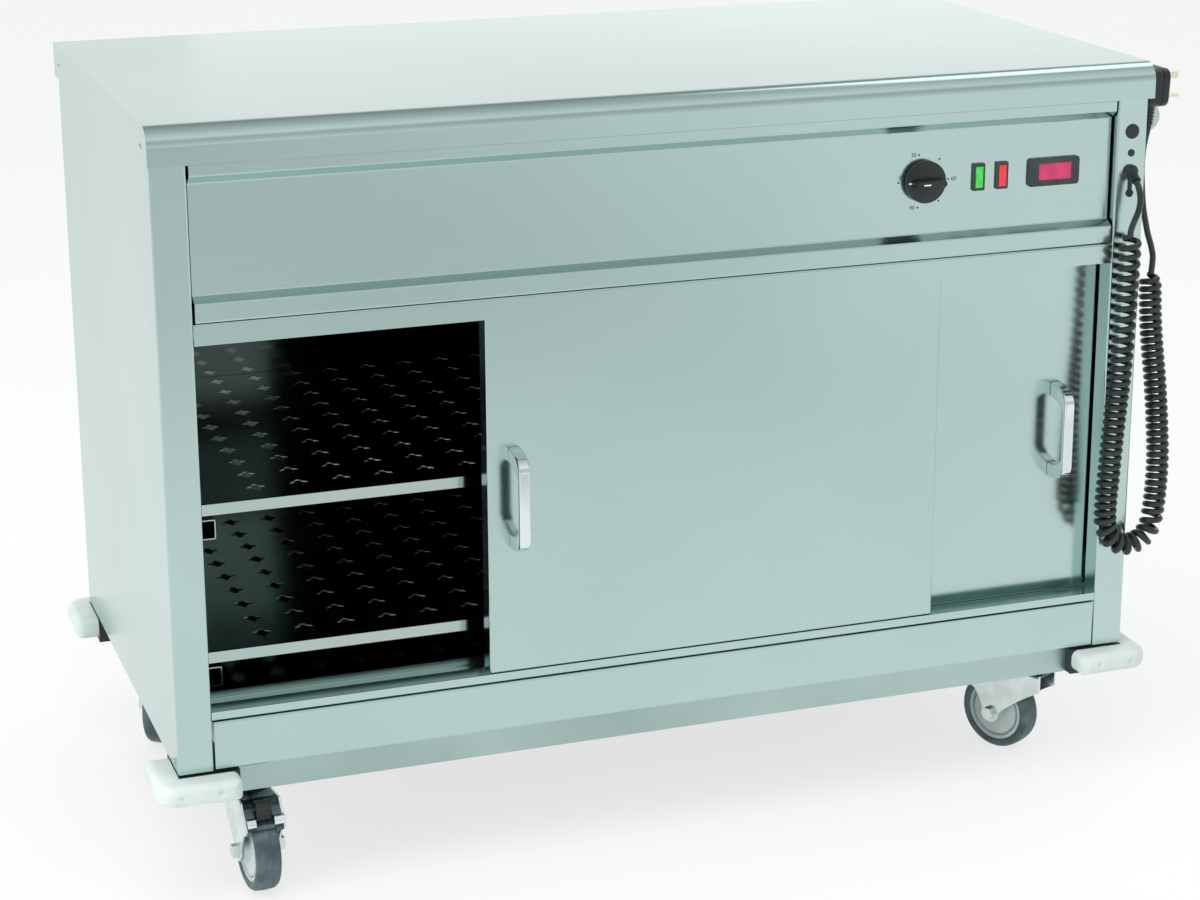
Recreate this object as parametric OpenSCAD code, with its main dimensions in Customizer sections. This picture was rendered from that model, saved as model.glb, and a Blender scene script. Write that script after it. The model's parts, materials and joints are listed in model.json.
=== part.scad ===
// Hostess trolley: a heated cupboard with two sliding doors, on four castors.
// All sizes are in millimetres. X runs to the right, Y to the back and Z up.
// The origin lies on the floor, below the middle of the cabinet.

/* [Overall] */
// Length of the worktop from end to end
top_w = 1200; // [1000:10:1500]
// Depth of the cabinet from front panels to back panel
body_d = 600; // [540:10:700]
// Height of the worktop above the floor
total_h = 900; // [860:5:960]
// Thickness of the sheet steel
sheet_t = 1.2; // [0.8:0.1:1.6]
// Radius outside the bends of the sheet
bend_r = 2.4; // [2:0.2:4]

/* [Worktop] */
// Height of the worktop's edge
lip_h = 42; // [34:1:60]
// Overhang of the worktop past the cabinet at front and back
top_over = 10; // [4:1:16]
// Radius of the rounded edge along the front
nose_r = 21; // [12:1:28]
// Thickness of the plates that close the worktop's ends
cheek_t = 2.5; // [1.5:0.5:4]
// Width of each stiffening channel under the worktop
stiffener_w = 60; // [40:5:90]

/* [Cabinet] */
// How far the cabinet's skirt hangs below the base frame's top
skirt = 4; // [2:0.5:6]
// Width of the posts at the front corners
post_w = 40; // [36:1:60]
// Depth of each post's inner return
jamb_d = 26; // [18:1:40]
// Thickness of the double-skinned side walls
wall_w = 32.5; // [26:0.5:50]
// Thickness of the double-skinned back
back_w = 23; // [15:1:50]
// Width of the side panels' returns round the back
back_return = 20; // [12:1:40]
// Height of the panel below the doors
lower_panel_h = 58; // [50:1:80]
// Height of the dark line between neighbouring front panels
seam = 1.5; // [0.5:0.5:3]

/* [Control fascia] */
// Height of the fascia
fascia_h = 174.5; // [165:0.5:220]
// Height of the flange along the fascia's top
fascia_rim = 14; // [8:1:20]
// Height of the flange along the fascia's foot
fascia_foot = 21.5; // [12:0.5:30]
// Height of the slope below the top flange
slope_top = 9.5; // [6:0.5:14]
// Height of the slope above the foot flange
slope_foot = 7; // [5:0.5:14]
// How far the fascia's middle is set back
fascia_in = 11.6; // [6:0.2:14]
// Gap at each end of the fascia
fascia_gap = 2.5; // [2:0.5:8]

/* [Sliding doors] */
// Height of the rail above the doors
header_h = 24; // [18:1:40]
// Height of the track's front lip
track_lip = 10.5; // [8:0.5:16]
// Depth of the track that both doors run in
track_d = 62; // [61:0.5:80]
// Thickness of a door
door_t = 24; // [18:1:24]
// Gap in front of each door
door_gap = 1.8; // [1:0.2:2.4]
// Gap behind the front door
rib_gap = 1; // [0.6:0.2:1.4]
// How far the closed doors overlap
door_overlap = 13; // [6:1:30]
// How far the front door stands open
door_open = 326; // [0:1:480]
// Thickness of a door's skins
door_skin = 1; // [0.8:0.1:1.5]
// Depth of the doors' top edges in the header rail
door_in = 12.5; // [8:0.5:14]

/* [Door handles] */
// Length of a handle from foot to foot
handle_h = 122; // [110:1:160]
// Length of the handle's straight grip
grip_h = 80; // [60:1:90]
// How far a handle stands out
handle_out = 40; // [30:1:50]
// Width of a handle
handle_w = 14; // [10:1:20]
// Thickness of a handle's bar
handle_t = 8; // [6:0.5:10]
// Height of the handles' middle above the floor
handle_z = 447; // [400:1:500]
// Distance from the front door's free edge to its handle
front_handle_in = 32; // [20:1:60]
// Distance from the rear door's outer edge to its handle
rear_handle_in = 51; // [45:1:80]

/* [Shelves] */
// Height of the upper shelf above the floor
upper_z = 459.5; // [420:0.5:520]
// Height of the lower shelf above the floor
lower_z = 283.5; // [276:0.5:320]
// Height of a shelf's front lip
shelf_lip = 14; // [10:1:18]
// Distance between the star-shaped holes
star_pitch = 50; // [40:1:80]
// Width of a star-shaped hole
star_w = 20; // [12:1:26]
// Length of a star-shaped hole
star_l = 23; // [14:1:28]
// Width of the channels that carry the shelves
runner_w = 34; // [24:1:45]
// Height of the channels that carry the shelves
runner_h = 23; // [16:1:30]

/* [Heater and controls] */
// Diameter of the heating element's tube
element_d = 8.5; // [6:0.5:10]
// Distance between the heating element's two legs
element_w = 200; // [120:10:300]
// Distance of the control knob from the right post
knob_in = 248.5; // [237.5:0.5:277.5]
// Diameter of the knob's skirt
knob_d = 50; // [40:1:60]
// Thickness of the knob's skirt
skirt_t = 10; // [6:1:12]
// Thickness of the knob from back to grip
knob_t = 25; // [18:1:30]
// Width of the knob's grip
grip_w = 10; // [7:0.5:14]
// Diameter of the thermostat's spindle
spindle_d = 6; // [4:0.5:8]
// Width of an indicator's bezel
indicator_w = 15.6; // [13:0.2:20]
// Height of an indicator's bezel
indicator_h = 32.5; // [26:0.5:40]
// Width of the display's bezel
display_w = 68; // [60:1:80]
// Height of the display's bezel
display_h = 34; // [28:1:44]
// How far the bezels stand out of the fascia
bezel_t = 3; // [2:0.5:5]

/* [Base] */
// Width and height of the base frame's tube
tube_w = 40; // [39:1:46]
// Wall thickness of the base frame's tube
tube_t = 2; // [1.5:0.5:3]
// How far the base frame is set in from the cabinet's faces
base_in = 14; // [10:1:20]
// Thickness of the corner bumpers
bumper_t = 28; // [20:1:36]
// Height of the corner bumpers
bumper_h = 30; // [24:1:32]
// Length of a bumper's arms
bumper_l = 96.5; // [84:0.5:120]
// Radius of a bumper's corner in plan
bumper_r = 25; // [18:1:27]

/* [Castors] */
// Height of a castor from floor to plate
castor_h = 130; // [130:1:134]
// Diameter of a wheel
wheel_d = 100; // [90:1:102]
// Width of a wheel's tyre
wheel_w = 30; // [20:1:32]
// Distance from the swivel axis to the wheel's axle
trail = 40; // [34:1:46]
// Distance of the swivel axes from the cabinet's ends
castor_in_x = 89.5; // [85.5:0.5:167.5]
// Distance of the swivel axes from the cabinet's front and back
castor_in_y = 72; // [70:1:100]
// Thickness of the forks' steel
fork_t = 3; // [2.5:0.5:3.5]
// Diameter of the wheels' axles
axle_d = 10; // [8:0.5:12]

/* [Cord] */
// Diameter of the mains cord
cord_d = 7.5; // [6:0.1:8]
// Diameter over the curly cord's turns
coil_d = 28.5; // [26:0.5:30]
// Length of the ribbed strain relief at the plug
relief_l = 25; // [20:1:40]

/* [Hidden] */
$fn = 48;
CLEAR = 0.3;   // gap between pieces that pass each other
FIT = 0.05;    // radial clearance of a shaft in its bore
OVER = 1;      // how far a cut runs past a face

// Heights of the cabinet's seams, from the floor
frame_z = castor_h;
frame_top = frame_z + tube_w;
body_z = frame_top - skirt;
body_top = total_h - lip_h;
fascia_z = body_top - CLEAR - fascia_h;
header_top = fascia_z - CLEAR;
header_z = header_top - header_h;
track_z = body_z + lower_panel_h + seam;
floor_z = track_z + sheet_t;

// Outer faces of the cabinet
body_w = top_w - 2 * cheek_t;
side_x = body_w / 2;
front_y = -body_d / 2;
back_y = body_d / 2;
opening_x = side_x - post_w;
top_front_y = front_y - top_over;
top_back_y = back_y + top_over;

// Flanges behind the front panels, and the lower panel's gap at each end
fascia_flange = 22;
lower_flange = 24;
lower_panel_gap = 2;

// Inside of the cupboard
liner_x = side_x - wall_w;
liner_y = front_y + track_d + sheet_t;
liner_back_y = back_y - back_w;

// Planes of the doors, the front one in front of the track's rib
front_door_y = front_y + sheet_t + door_gap;
rib_y = front_door_y + door_t + rib_gap;
rear_door_y = rib_y + sheet_t + door_gap;
door_w = opening_x + door_overlap / 2 - 0.5;
door_z = floor_z + CLEAR;
door_top = header_z + door_in;
front_door_x = -opening_x + 0.5 + door_open;
rear_door_x = opening_x - 0.5 - door_w;

// Shelves: flanges down to the runners, and the plain margins round the holes
runner_drop = 18;
shelf_margin_x = 86;
shelf_margin_y = 30;

// Heating element, a hairpin with its bend at the left
element_z = floor_z + 16;
element_y = (liner_y + liner_back_y) / 2;
element_in = 180;
element_bend_x = -liner_x + element_in;
element_elbow = 15;
element_end_x = liner_x - runner_w - element_elbow - 5;
element_tail = 25;
element_bracket_x = [element_bend_x + 60, 0, -element_bend_x - 60];

// Controls
control_y = front_y + fascia_in;
flat_top = body_top - CLEAR - fascia_rim - slope_top;
flat_foot = fascia_z + fascia_foot + slope_foot;
control_z = (flat_top + flat_foot) / 2 + 2;
knob_x = opening_x - knob_in;
green_beside_knob = 71;
red_beside_knob = 101.5;
indicator_x = [knob_x + green_beside_knob, knob_x + red_beside_knob];
indicator_depth = 24;
lens_w = 9;
lens_h = 25;
lens_proud = 1.5;
display_beside_knob = 170;
display_x = knob_x + display_beside_knob;
display_window_x = display_x + 2;
display_window_w = 43.6;
display_window_h = 20.2;
module_t = 50;
spindle_r = spindle_d / 2;
bush_r = spindle_r + 2;
thermostat_w = 44;
thermostat_h = 40;
thermostat_t = 30;

// Holes in the right post: place along X, height and radius
post_hole_x = side_x - post_w / 2;
big_plug_drop = 40;
small_plug_drop = 66;
gland_drop = 89;
bung_drop = 115;
big_plug = [post_hole_x, body_top - big_plug_drop, 8];
small_plug = [post_hole_x, body_top - small_plug_drop, 3.5];
gland_hole = [post_hole_x, body_top - gland_drop, 7];
bung_hole = [post_hole_x, body_top - bung_drop, 3.5];
gland_dome = 8;
gland_tilt = 35;
gland_spout = 15;
screw_head_r = 3.5;
screw_proud = 1.5;

// Base
base_x = side_x - base_in;
base_y = body_d / 2 - base_in;
bumper_z = frame_z + 2;
bumper_outer_x = side_x + bumper_t;
bumper_outer_y = body_d / 2 + bumper_t;
bumper_edge_r = 10;
bumper_end_r = 14;
castor_x = side_x - castor_in_x;
castor_y = body_d / 2 - castor_in_y;
castor_signs = [[-1, -1], [1, -1], [-1, 1], [1, 1]];
castor_angles = [-86, 118, -117, 150];
plate_l = 105;
plate_w = 85;
plate_t = 3;
race_r = 27;
race_t = 6;
kingpin_r = 6;
kingpin_foot = 4;
fork_z = frame_z - 17;
fork_front = 30;
fork_back = 18;
cheek_r = 14;
hood_gap = 4;
hood_opening_w = 21;
axle_z = wheel_d / 2;
axle_r = axle_d / 2;
hub_r = wheel_d / 2 - 14;
hub_w = wheel_w + 10;
leg_y = hub_w / 2 + 1;
pedal_pin = [trail + 20, fork_z - 7];
pedal_pin_r = 2.5;
pedal_w = 18;

// Lip of a braked fork's hood, at 45 degrees above the axle and clear of the tyre
hood_r = wheel_d / 2 + hood_gap;
hood_lip = [trail + hood_r * cos(45), axle_z + hood_r * sin(45)];

// Bolts of a castor's plate, and their places about the swivel axis
bolt_x = 40;
bolt_y = 30;
bolt_r = 4;
bolt_head_r = 7;
bolt_head_h = 5.5;

// ---- outlines -------------------------------------------------------------

function unit(v) = v / norm(v);
function turned(v, a) = [v.x * cos(a) - v.y * sin(a), v.x * sin(a) + v.y * cos(a)];
function left_of(v) = [-v.y, v.x];

// Points of the arc of radius r that rounds a path's corner p between directions a and b
function corner_arc(p, a, b, r, steps = 4) =
    let (turn = atan2(cross(a, b), a * b))
    let (start = p - a * r * tan(abs(turn) / 2))
    let (centre = start + sign(turn) * r * left_of(a))
    [for (k = [0:steps]) centre + turned(start - centre, turn * k / steps)];

// The path with its inner corners rounded
function rounded_path(path, r) =
    let (last = len(path) - 1)
    concat(
        [path[0]],
        [for (i = [1:last - 1])
            let (before = unit(path[i] - path[i - 1]), after = unit(path[i + 1] - path[i]))
            each corner_arc(path[i], before, after, r)],
        [path[last]]
    );

// Point i of a path, moved to the path's left by t
function shifted(path, i, t) =
    let (last = len(path) - 1)
    let (before = unit(path[max(i, 1)] - path[max(i, 1) - 1]))
    let (after = unit(path[min(i, last - 1) + 1] - path[min(i, last - 1)]))
    let (middle = unit(left_of(before) + left_of(after)))
    path[i] + middle * t / (middle * left_of(before));

// Outline of a sheet of thickness t, bent along the path that its visible face follows.
// The sheet lies to the path's left, or to its right when t is negative.
function bent_sheet(path, t, r = bend_r) =
    let (face = rounded_path(path, r))
    concat(face, [for (i = [len(face) - 1:-1:0]) shifted(face, i, t)]);

// Outline of a rectangle about the origin with rounded corners
function rounded_rect(w, h, r, steps = 6) = [
    for (q = [0:3], k = [0:steps])
    let (a = 90 * (q + k / steps))
    let (corner = [[1, 1], [-1, 1], [-1, -1], [1, -1]][q])
    [corner.x * (w / 2 - r) + r * cos(a), corner.y * (h / 2 - r) + r * sin(a)]
];

// Draws a flat shape in the YZ plane and carries it along X
module along_x(x0, x1) {
    translate([x0, 0, 0]) rotate([90, 0, 90]) linear_extrude(x1 - x0) children();
}

// Draws a flat shape in the XZ plane and carries it back along Y
module along_y(y0, y1) {
    translate([0, y1, 0]) rotate([90, 0, 0]) linear_extrude(y1 - y0) children();
}

// A box between two corners
module block(low, high) {
    translate(low) cube(high - low);
}

// A round bar along Y
module bar_y(x, z, y0, y1, r) {
    translate([x, y1, z]) rotate([90, 0, 0]) cylinder(h = y1 - y0, r = r);
}

// A round bar along X
module bar_x(y, z, x0, x1, r) {
    translate([x0, y, z]) rotate([0, 90, 0]) cylinder(h = x1 - x0, r = r);
}

module both_sides() {
    children();
    mirror([1, 0, 0]) children();
}

// ---- worktop --------------------------------------------------------------

// Side view of the worktop, set in by an even margin
module worktop_side(margin = 0) {
    r = nose_r - margin;
    front = top_front_y + margin;
    top = total_h - margin;
    translate([front + r, body_top - OVER * sign(margin)])
        square([top_back_y - margin - front - r, top - body_top + OVER * sign(margin)]);
    translate([front, body_top - OVER * sign(margin)])
        square([r + OVER / 2, top - r - body_top + OVER * sign(margin)]);
    translate([front + r, top - r]) circle(r);
}

module worktop() {
    hem = top_over + 8;
    color("lightcyan") along_x(-side_x, side_x) {
        difference() {
            worktop_side();
            worktop_side(sheet_t);
        }
        translate([top_front_y, body_top]) square([hem, sheet_t]);
        translate([top_back_y - hem, body_top]) square([hem, sheet_t]);
    }
}

module worktop_end_cheeks() {
    color("lightcyan") both_sides() along_x(side_x, side_x + cheek_t) worktop_side();
}

module worktop_stiffeners() {
    leg = total_h - sheet_t - body_top;
    half_w = stiffener_w / 2;
    section = [[half_w, 0], [half_w, leg], [-half_w, leg], [-half_w, 0]];
    color("silver") for (y = [-body_d / 5, body_d / 5]) {
        along_x(-side_x + sheet_t, side_x - sheet_t)
            translate([y, body_top]) polygon(bent_sheet(section, sheet_t));
    }
}

// Domed head of a screw, turned about Z
module screw_head() {
    r = screw_head_r;
    h = screw_proud;
    rotate_extrude() polygon([[0, 0], [r, 0], [r, h * 0.3], [r * 0.75, h * 0.8], [r * 0.4, h], [0, h]]);
}

module panel_screws() {
    cheek_screw_y = [front_y + 26, back_y - 21];
    cheek_screw_z = body_top + lip_h * 0.4;
    back_screw_z = [body_z + 30, (body_z + body_top) / 2, body_top - 30];
    color("gray") {
        both_sides() {
            for (y = cheek_screw_y) {
                translate([side_x + cheek_t, y, cheek_screw_z]) rotate([0, 90, 0]) screw_head();
            }
            translate([side_x, front_y + 24, body_z + 8]) rotate([0, 90, 0]) screw_head();
            for (z = back_screw_z) {
                translate([side_x - back_return / 2, back_y, z]) rotate([-90, 0, 0]) screw_head();
            }
        }
    }
}

// ---- cabinet --------------------------------------------------------------

// One side of the cabinet with its post, folded from one sheet; drawn on the left
module side_panel() {
    inner_x = side_x - sheet_t;
    difference() {
        translate([0, 0, body_z]) linear_extrude(body_top - body_z) polygon(bent_sheet([
            [-side_x + back_return, back_y],
            [-side_x, back_y],
            [-side_x, front_y],
            [-opening_x, front_y],
            [-opening_x, front_y + jamb_d]
        ], sheet_t));
        block([-base_x, front_y + base_in - CLEAR, body_z - OVER],
              [-opening_x + OVER, front_y + jamb_d + OVER, frame_top]);
    }
    block([-inner_x - sheet_t / 2, front_y + 3 * bend_r, frame_top],
          [-base_x + tube_w, back_y - 3 * bend_r, frame_top + sheet_t]);
    block([-inner_x - sheet_t / 2, front_y + 3 * bend_r, body_top - sheet_t],
          [-side_x + back_return, back_y - 3 * bend_r, body_top]);
}

module left_side_panel() {
    color("lightblue") side_panel();
}

module right_side_panel() {
    color("lightblue") difference() {
        mirror([1, 0, 0]) side_panel();
        for (hole = [big_plug, small_plug, gland_hole, bung_hole]) {
            bar_y(hole.x, hole.y, front_y - OVER, front_y + sheet_t + OVER, hole.z);
        }
    }
}

module back_panel() {
    inner_x = side_x - bend_r - CLEAR;
    face_y = back_y - sheet_t;
    color("lightblue") block([-inner_x, face_y - sheet_t, frame_top + sheet_t],
                             [inner_x, face_y, body_top - sheet_t]);
}

module inner_liner() {
    inner_x = side_x - sheet_t;
    deck_back_y = back_y - 2 * sheet_t;
    ceiling_z = header_top - sheet_t;
    color("dimgray") {
        block([-inner_x, liner_y, ceiling_z], [inner_x, deck_back_y, ceiling_z + sheet_t]);
        difference() {
            block([-inner_x, liner_y, track_z], [inner_x, deck_back_y, floor_z]);
            for (s = [-1, 1]) {
                translate([element_end_x + element_elbow, element_y + s * element_w / 2, track_z - OVER])
                    cylinder(h = sheet_t + 2 * OVER, r = element_d / 2 + CLEAR);
            }
        }
        block([-liner_x, liner_back_y, track_z], [liner_x, liner_back_y + sheet_t, header_top]);
        both_sides() {
            block([liner_x, liner_y, track_z], [liner_x + sheet_t, liner_back_y + sheet_t, header_top]);
            block([liner_x, liner_y, track_z], [inner_x, liner_y + sheet_t, header_top]);
        }
        for (x = element_bracket_x) element_bracket(x);
    }
}

module control_fascia() {
    x1 = opening_x - fascia_gap;
    top = body_top - CLEAR;
    fold_y = front_y + fascia_flange;
    color("paleturquoise") difference() {
        along_x(-x1, x1) polygon(bent_sheet([
            [fold_y, top],
            [front_y, top],
            [front_y, top - fascia_rim],
            [control_y, flat_top],
            [control_y, flat_foot],
            [front_y, fascia_z + fascia_foot],
            [front_y, fascia_z],
            [fold_y, fascia_z]
        ], sheet_t));
        bar_y(knob_x, control_z, control_y - OVER, control_y + sheet_t + OVER, bush_r + CLEAR);
        for (x = indicator_x) control_cut(x, indicator_w - 2, indicator_h - 4);
        control_cut(display_x, display_w - 6, display_h - 6);
    }
}

// Rectangular hole in the fascia
module control_cut(x, w, h) {
    block([x - w / 2 - CLEAR, control_y - OVER, control_z - h / 2 - CLEAR],
          [x + w / 2 + CLEAR, control_y + sheet_t + OVER, control_z + h / 2 + CLEAR]);
}

// The channel that the doors' top edges run in
module door_header_rail() {
    back = front_y + track_d;
    section = [[back, header_z], [back, header_top], [front_y, header_top], [front_y, header_z]];
    color("paleturquoise") along_x(-opening_x, opening_x) {
        polygon(bent_sheet(section, sheet_t));
        translate([rib_y, header_z]) square([sheet_t, header_h - sheet_t / 2]);
    }
}

// The channel that carries both doors
module bottom_track() {
    back = front_y + track_d;
    lip_z = track_z + track_lip;
    section = [[front_y, lip_z], [front_y, track_z], [back, track_z], [back, lip_z]];
    color("paleturquoise") along_x(-opening_x, opening_x) {
        polygon(bent_sheet(section, sheet_t));
        translate([rib_y, track_z + sheet_t / 2]) square([sheet_t, track_lip - 2]);
    }
}

module front_lower_panel() {
    x1 = opening_x - lower_panel_gap;
    rail_y = front_y + base_in;
    top = body_z + lower_panel_h;
    color("paleturquoise") along_x(-x1, x1) polygon(bent_sheet(
        [[front_y + lower_flange, top], [front_y, top], [front_y, body_z], [rail_y, body_z]], sheet_t));
}

// ---- shelves --------------------------------------------------------------

// Four-pointed star about the origin
module star_hole() {
    tips = [[star_w / 2, 0], [0, star_l / 2], [-star_w / 2, 0], [0, -star_l / 2]];
    waists = [[1, 1], [-1, 1], [-1, -1], [1, -1]] * star_w * 0.16;
    polygon([for (q = [0:3]) each [tips[q], waists[q]]]);
}

// Perforated sheet with a lip in front and a flange down to each runner
module shelf(z) {
    x1 = liner_x - 2;
    front = liner_y;
    back = liner_back_y - 1;
    columns = floor((2 * x1 - 2 * shelf_margin_x) / star_pitch);
    rows = floor((back - front - 2 * shelf_margin_y) / star_pitch);
    side_h = sheet_t + runner_drop;
    translate([0, 0, z - sheet_t]) linear_extrude(sheet_t) difference() {
        translate([-x1, front]) square([2 * x1, back - front]);
        for (i = [0:columns], j = [0:rows]) {
            translate([(i - columns / 2) * star_pitch, (front + back) / 2 + 9 + (j - rows / 2) * star_pitch])
                star_hole();
        }
    }
    block([-x1, front, z - shelf_lip], [x1, front + sheet_t, z - sheet_t / 2]);
    both_sides() block([x1 - sheet_t, front, z - side_h], [x1, back, z - sheet_t / 2]);
}

module upper_shelf() {
    color("slategray") shelf(upper_z);
}

module lower_shelf() {
    color("slategray") shelf(lower_z);
}

// Channels along the side walls, each with its open side closed by the wall
module shelf_runners() {
    inner_x = liner_x - runner_w;
    color("black") for (z = [upper_z, lower_z]) {
        top = z - sheet_t - runner_drop;
        foot = top - runner_h;
        section = [[liner_x, foot], [inner_x, foot], [inner_x, top], [liner_x, top]];
        both_sides() along_y(liner_y, liner_back_y) polygon(bent_sheet(section, -sheet_t, 2));
    }
}

// ---- heater and controls --------------------------------------------------

// A strip under both legs of the element, standing on the cupboard's floor
module element_bracket(x) {
    half_w = 6;
    for (s = [-1, 1]) {
        translate([x, element_y + s * element_w / 2, 0])
            block([-half_w, -half_w, floor_z - sheet_t / 2], [half_w, half_w, element_z - element_d / 2]);
    }
}

// One long hairpin of tube, with its ends turned down through the cupboard's floor
module heating_element() {
    r = element_d / 2;
    color("darkslategray") {
        for (s = [-1, 1]) translate([0, element_y + s * element_w / 2, 0]) {
            bar_x(0, element_z, element_bend_x, element_end_x, r);
            translate([element_end_x, 0, element_z - element_elbow]) rotate([90, 0, 0])
                rotate_extrude(angle = 90) translate([element_elbow, 0]) circle(r);
            translate([element_end_x + element_elbow, 0, floor_z - element_tail])
                cylinder(h = element_z - element_elbow - floor_z + element_tail, r = r);
        }
        translate([element_bend_x, element_y, element_z]) rotate([0, 0, 90])
            rotate_extrude(angle = 180) translate([element_w / 2, 0]) circle(r);
    }
}

// Capillary thermostat, hung from the fascia by its bush
module thermostat_body() {
    back = control_y + sheet_t;
    color("dimgray") difference() {
        union() {
            block([knob_x - thermostat_w / 2, back, control_z - thermostat_h / 2],
                  [knob_x + thermostat_w / 2, back + thermostat_t, control_z + thermostat_h / 2]);
            bar_y(knob_x, control_z, control_y - 0.5, back + OVER, bush_r);
        }
        bar_y(knob_x, control_z, control_y - OVER, back + 20, spindle_r + FIT);
    }
}

module thermostat_spindle() {
    color("silver") bar_y(knob_x, control_z, control_y - knob_t + 6, control_y + 18, spindle_r);
}

// Skirt with a raised grip across it
module control_knob() {
    front = control_y - 1;
    color("darkslategray") difference() {
        union() {
            translate([knob_x, front, control_z]) rotate([90, 0, 0]) rotate_extrude() polygon([
                [0, 0], [knob_d / 2, 0], [knob_d / 2, skirt_t - 3], [knob_d / 2 - 3, skirt_t], [0, skirt_t]
            ]);
            along_y(front - knob_t + 1, front - skirt_t + OVER)
                translate([knob_x, control_z]) polygon(rounded_rect(knob_d * 0.8, grip_w, grip_w / 2.2));
        }
        bar_y(knob_x, control_z, control_y - knob_t + 6, front + OVER, spindle_r + FIT);
    }
}

// Digital thermometer behind its window
module thermometer_module() {
    w = display_w - 6;
    h = display_h - 6;
    color("dimgray") block([display_x - w / 2, control_y, control_z - h / 2],
                           [display_x + w / 2, control_y + module_t, control_z + h / 2]);
}

module display_window() {
    half_w = display_window_w / 2;
    half_h = display_window_h / 2;
    color("crimson") translate([display_window_x, control_y, control_z])
        block([-half_w, 0.8 - bezel_t, -half_h], [half_w, 0, half_h]);
}

// Frames of both indicators and of the display
module control_bezels() {
    color("darkslategray") {
        for (x = indicator_x) difference() {
            half_w = indicator_w / 2 - 1;
            half_h = indicator_h / 2 - 2;
            union() {
                along_y(control_y - bezel_t, control_y)
                    translate([x, control_z]) polygon(rounded_rect(indicator_w, indicator_h, 1.5));
                block([x - half_w, control_y - CLEAR, control_z - half_h],
                      [x + half_w, control_y + indicator_depth, control_z + half_h]);
            }
            lens_cut(x, lens_w, lens_h, 4);
        }
        difference() {
            along_y(control_y - bezel_t, control_y)
                translate([display_x, control_z]) polygon(rounded_rect(display_w, display_h, 4.5));
            lens_cut(display_window_x, display_window_w, display_window_h, OVER);
        }
    }
}

// Pocket in a bezel, open to the front
module lens_cut(x, w, h, depth) {
    block([x - w / 2, control_y - bezel_t - OVER, control_z - h / 2],
          [x + w / 2, control_y + depth, control_z + h / 2]);
}

module lens(x) {
    block([x - lens_w / 2, control_y - bezel_t - lens_proud, control_z - lens_h / 2],
          [x + lens_w / 2, control_y + 4, control_z + lens_h / 2]);
}

module green_lens() {
    color("limegreen") lens(indicator_x[0]);
}

module red_lens() {
    color("red") lens(indicator_x[1]);
}

// ---- post plugs, gland and plug rest --------------------------------------

// Round plug with a shallow dome, pushed into a hole of the right post
module post_plug(hole, rim, dome) {
    translate([hole.x, front_y, hole.y]) rotate([90, 0, 0]) {
        translate([0, 0, -8]) cylinder(h = 8, r = hole.z - FIT);
        rotate_extrude() polygon([[0, 0], [rim, 0], [rim, dome * 0.4], [rim * 0.7, dome * 0.85], [0, dome]]);
    }
}

// Two plugs, and the bung whose strap runs up to the gland
module blanking_plugs() {
    strap_w = 4;
    color("black") {
        post_plug(big_plug, 9, 2);
        post_plug(small_plug, 4.5, 1.5);
        post_plug(bung_hole, 4.8, 3);
        block([bung_hole.x - strap_w / 2, front_y - 2, bung_hole.y],
              [bung_hole.x + strap_w / 2, front_y, gland_hole.y - 9]);
    }
}

// Domed gland with a short spout that points down and to the front
module cord_gland() {
    color("black") difference() {
        union() {
            translate([gland_hole.x, front_y, gland_hole.y]) rotate([90, 0, 0]) {
                translate([0, 0, -10]) cylinder(h = 10, r = gland_hole.z - FIT);
                rotate_extrude() polygon([
                    [0, 0], [9, 0], [9, 3.5], [7, gland_dome - 1.5], [5, gland_dome], [0, gland_dome]
                ]);
            }
            gland_axis() cylinder(h = gland_spout, r = cord_d / 2 + 2);
        }
        gland_axis() translate([0, 0, gland_spout - 3]) cylinder(h = 3 + OVER, r = cord_d / 2 + CLEAR);
    }
}

// Turns the Z axis to the direction in which the cord leaves the gland
module gland_axis() {
    translate([gland_hole.x, front_y - 3, gland_hole.y]) rotate([90 + gland_tilt, 0, 0]) children();
}

// Round plate beside the right panel that the parked plug stands on
module plug_rest() {
    r = 17.5;
    x = side_x + r + 7;
    z = plug_z - CLEAR - r;
    y = plug_y + 16;
    color("white") {
        bar_y(x, z, y, y + 3, r);
        block([side_x, y, z - r * 0.6], [x, y + 3, z + r * 0.6]);
    }
}

// ---- cord -----------------------------------------------------------------

cord_r = cord_d / 2;
curl_r = (coil_d - cord_d) / 2;
RINGS_PER_CURL = 8;

// Direction in which the cord leaves the gland, and the point where it starts, from the gland's hole
gland_out = [0, -cos(gland_tilt), -sin(gland_tilt)];
gland_exit = [0, -3, 0] + (gland_spout - 3) * gland_out;

// The points of the cord below are measured from the middle of the gland's hole
gland_place = [gland_hole.x, front_y, gland_hole.y];

// The lead from the gland down to the curls
gland_route = [[0.5, -21, -16], [1, -25, -29], [-0.5, -25, -42], [-3.5, -23, -53]];
curls_start = [-5.5, -20, -63];
curls_start_out = unit([-0.12, 0.18, -1]);

// Middle line of the curls, and the turns from each point to the next
curls_route = [
    [-6.5, -18.5, -71, 2], [-6, -18, -96, 5], [-7.5, -18, -159, 6], [-10, -18, -234, 7],
    [-15, -18, -302, 7], [-19, -18, -370, 6.5], [-21, -18, -433, 1.6], [-13.5, -18, -453, 1.6],
    [2.5, -18, -465, 1.7], [23.5, -17, -465, 1.7], [40.5, -16, -452, 1.6], [47.5, -14, -432, 5],
    [52.5, -11, -386, 4.2], [53.5, -8, -348, 8.2], [49.5, -2, -274, 8.2], [42.5, 4, -200, 6.5],
    [40.5, 8.5, -141, 1.2], [41.5, 9, -129, 0]
];
curls_end = [42.5, 9.5, -121];
curls_end_out = unit([0.1, 0, 1]);

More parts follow.
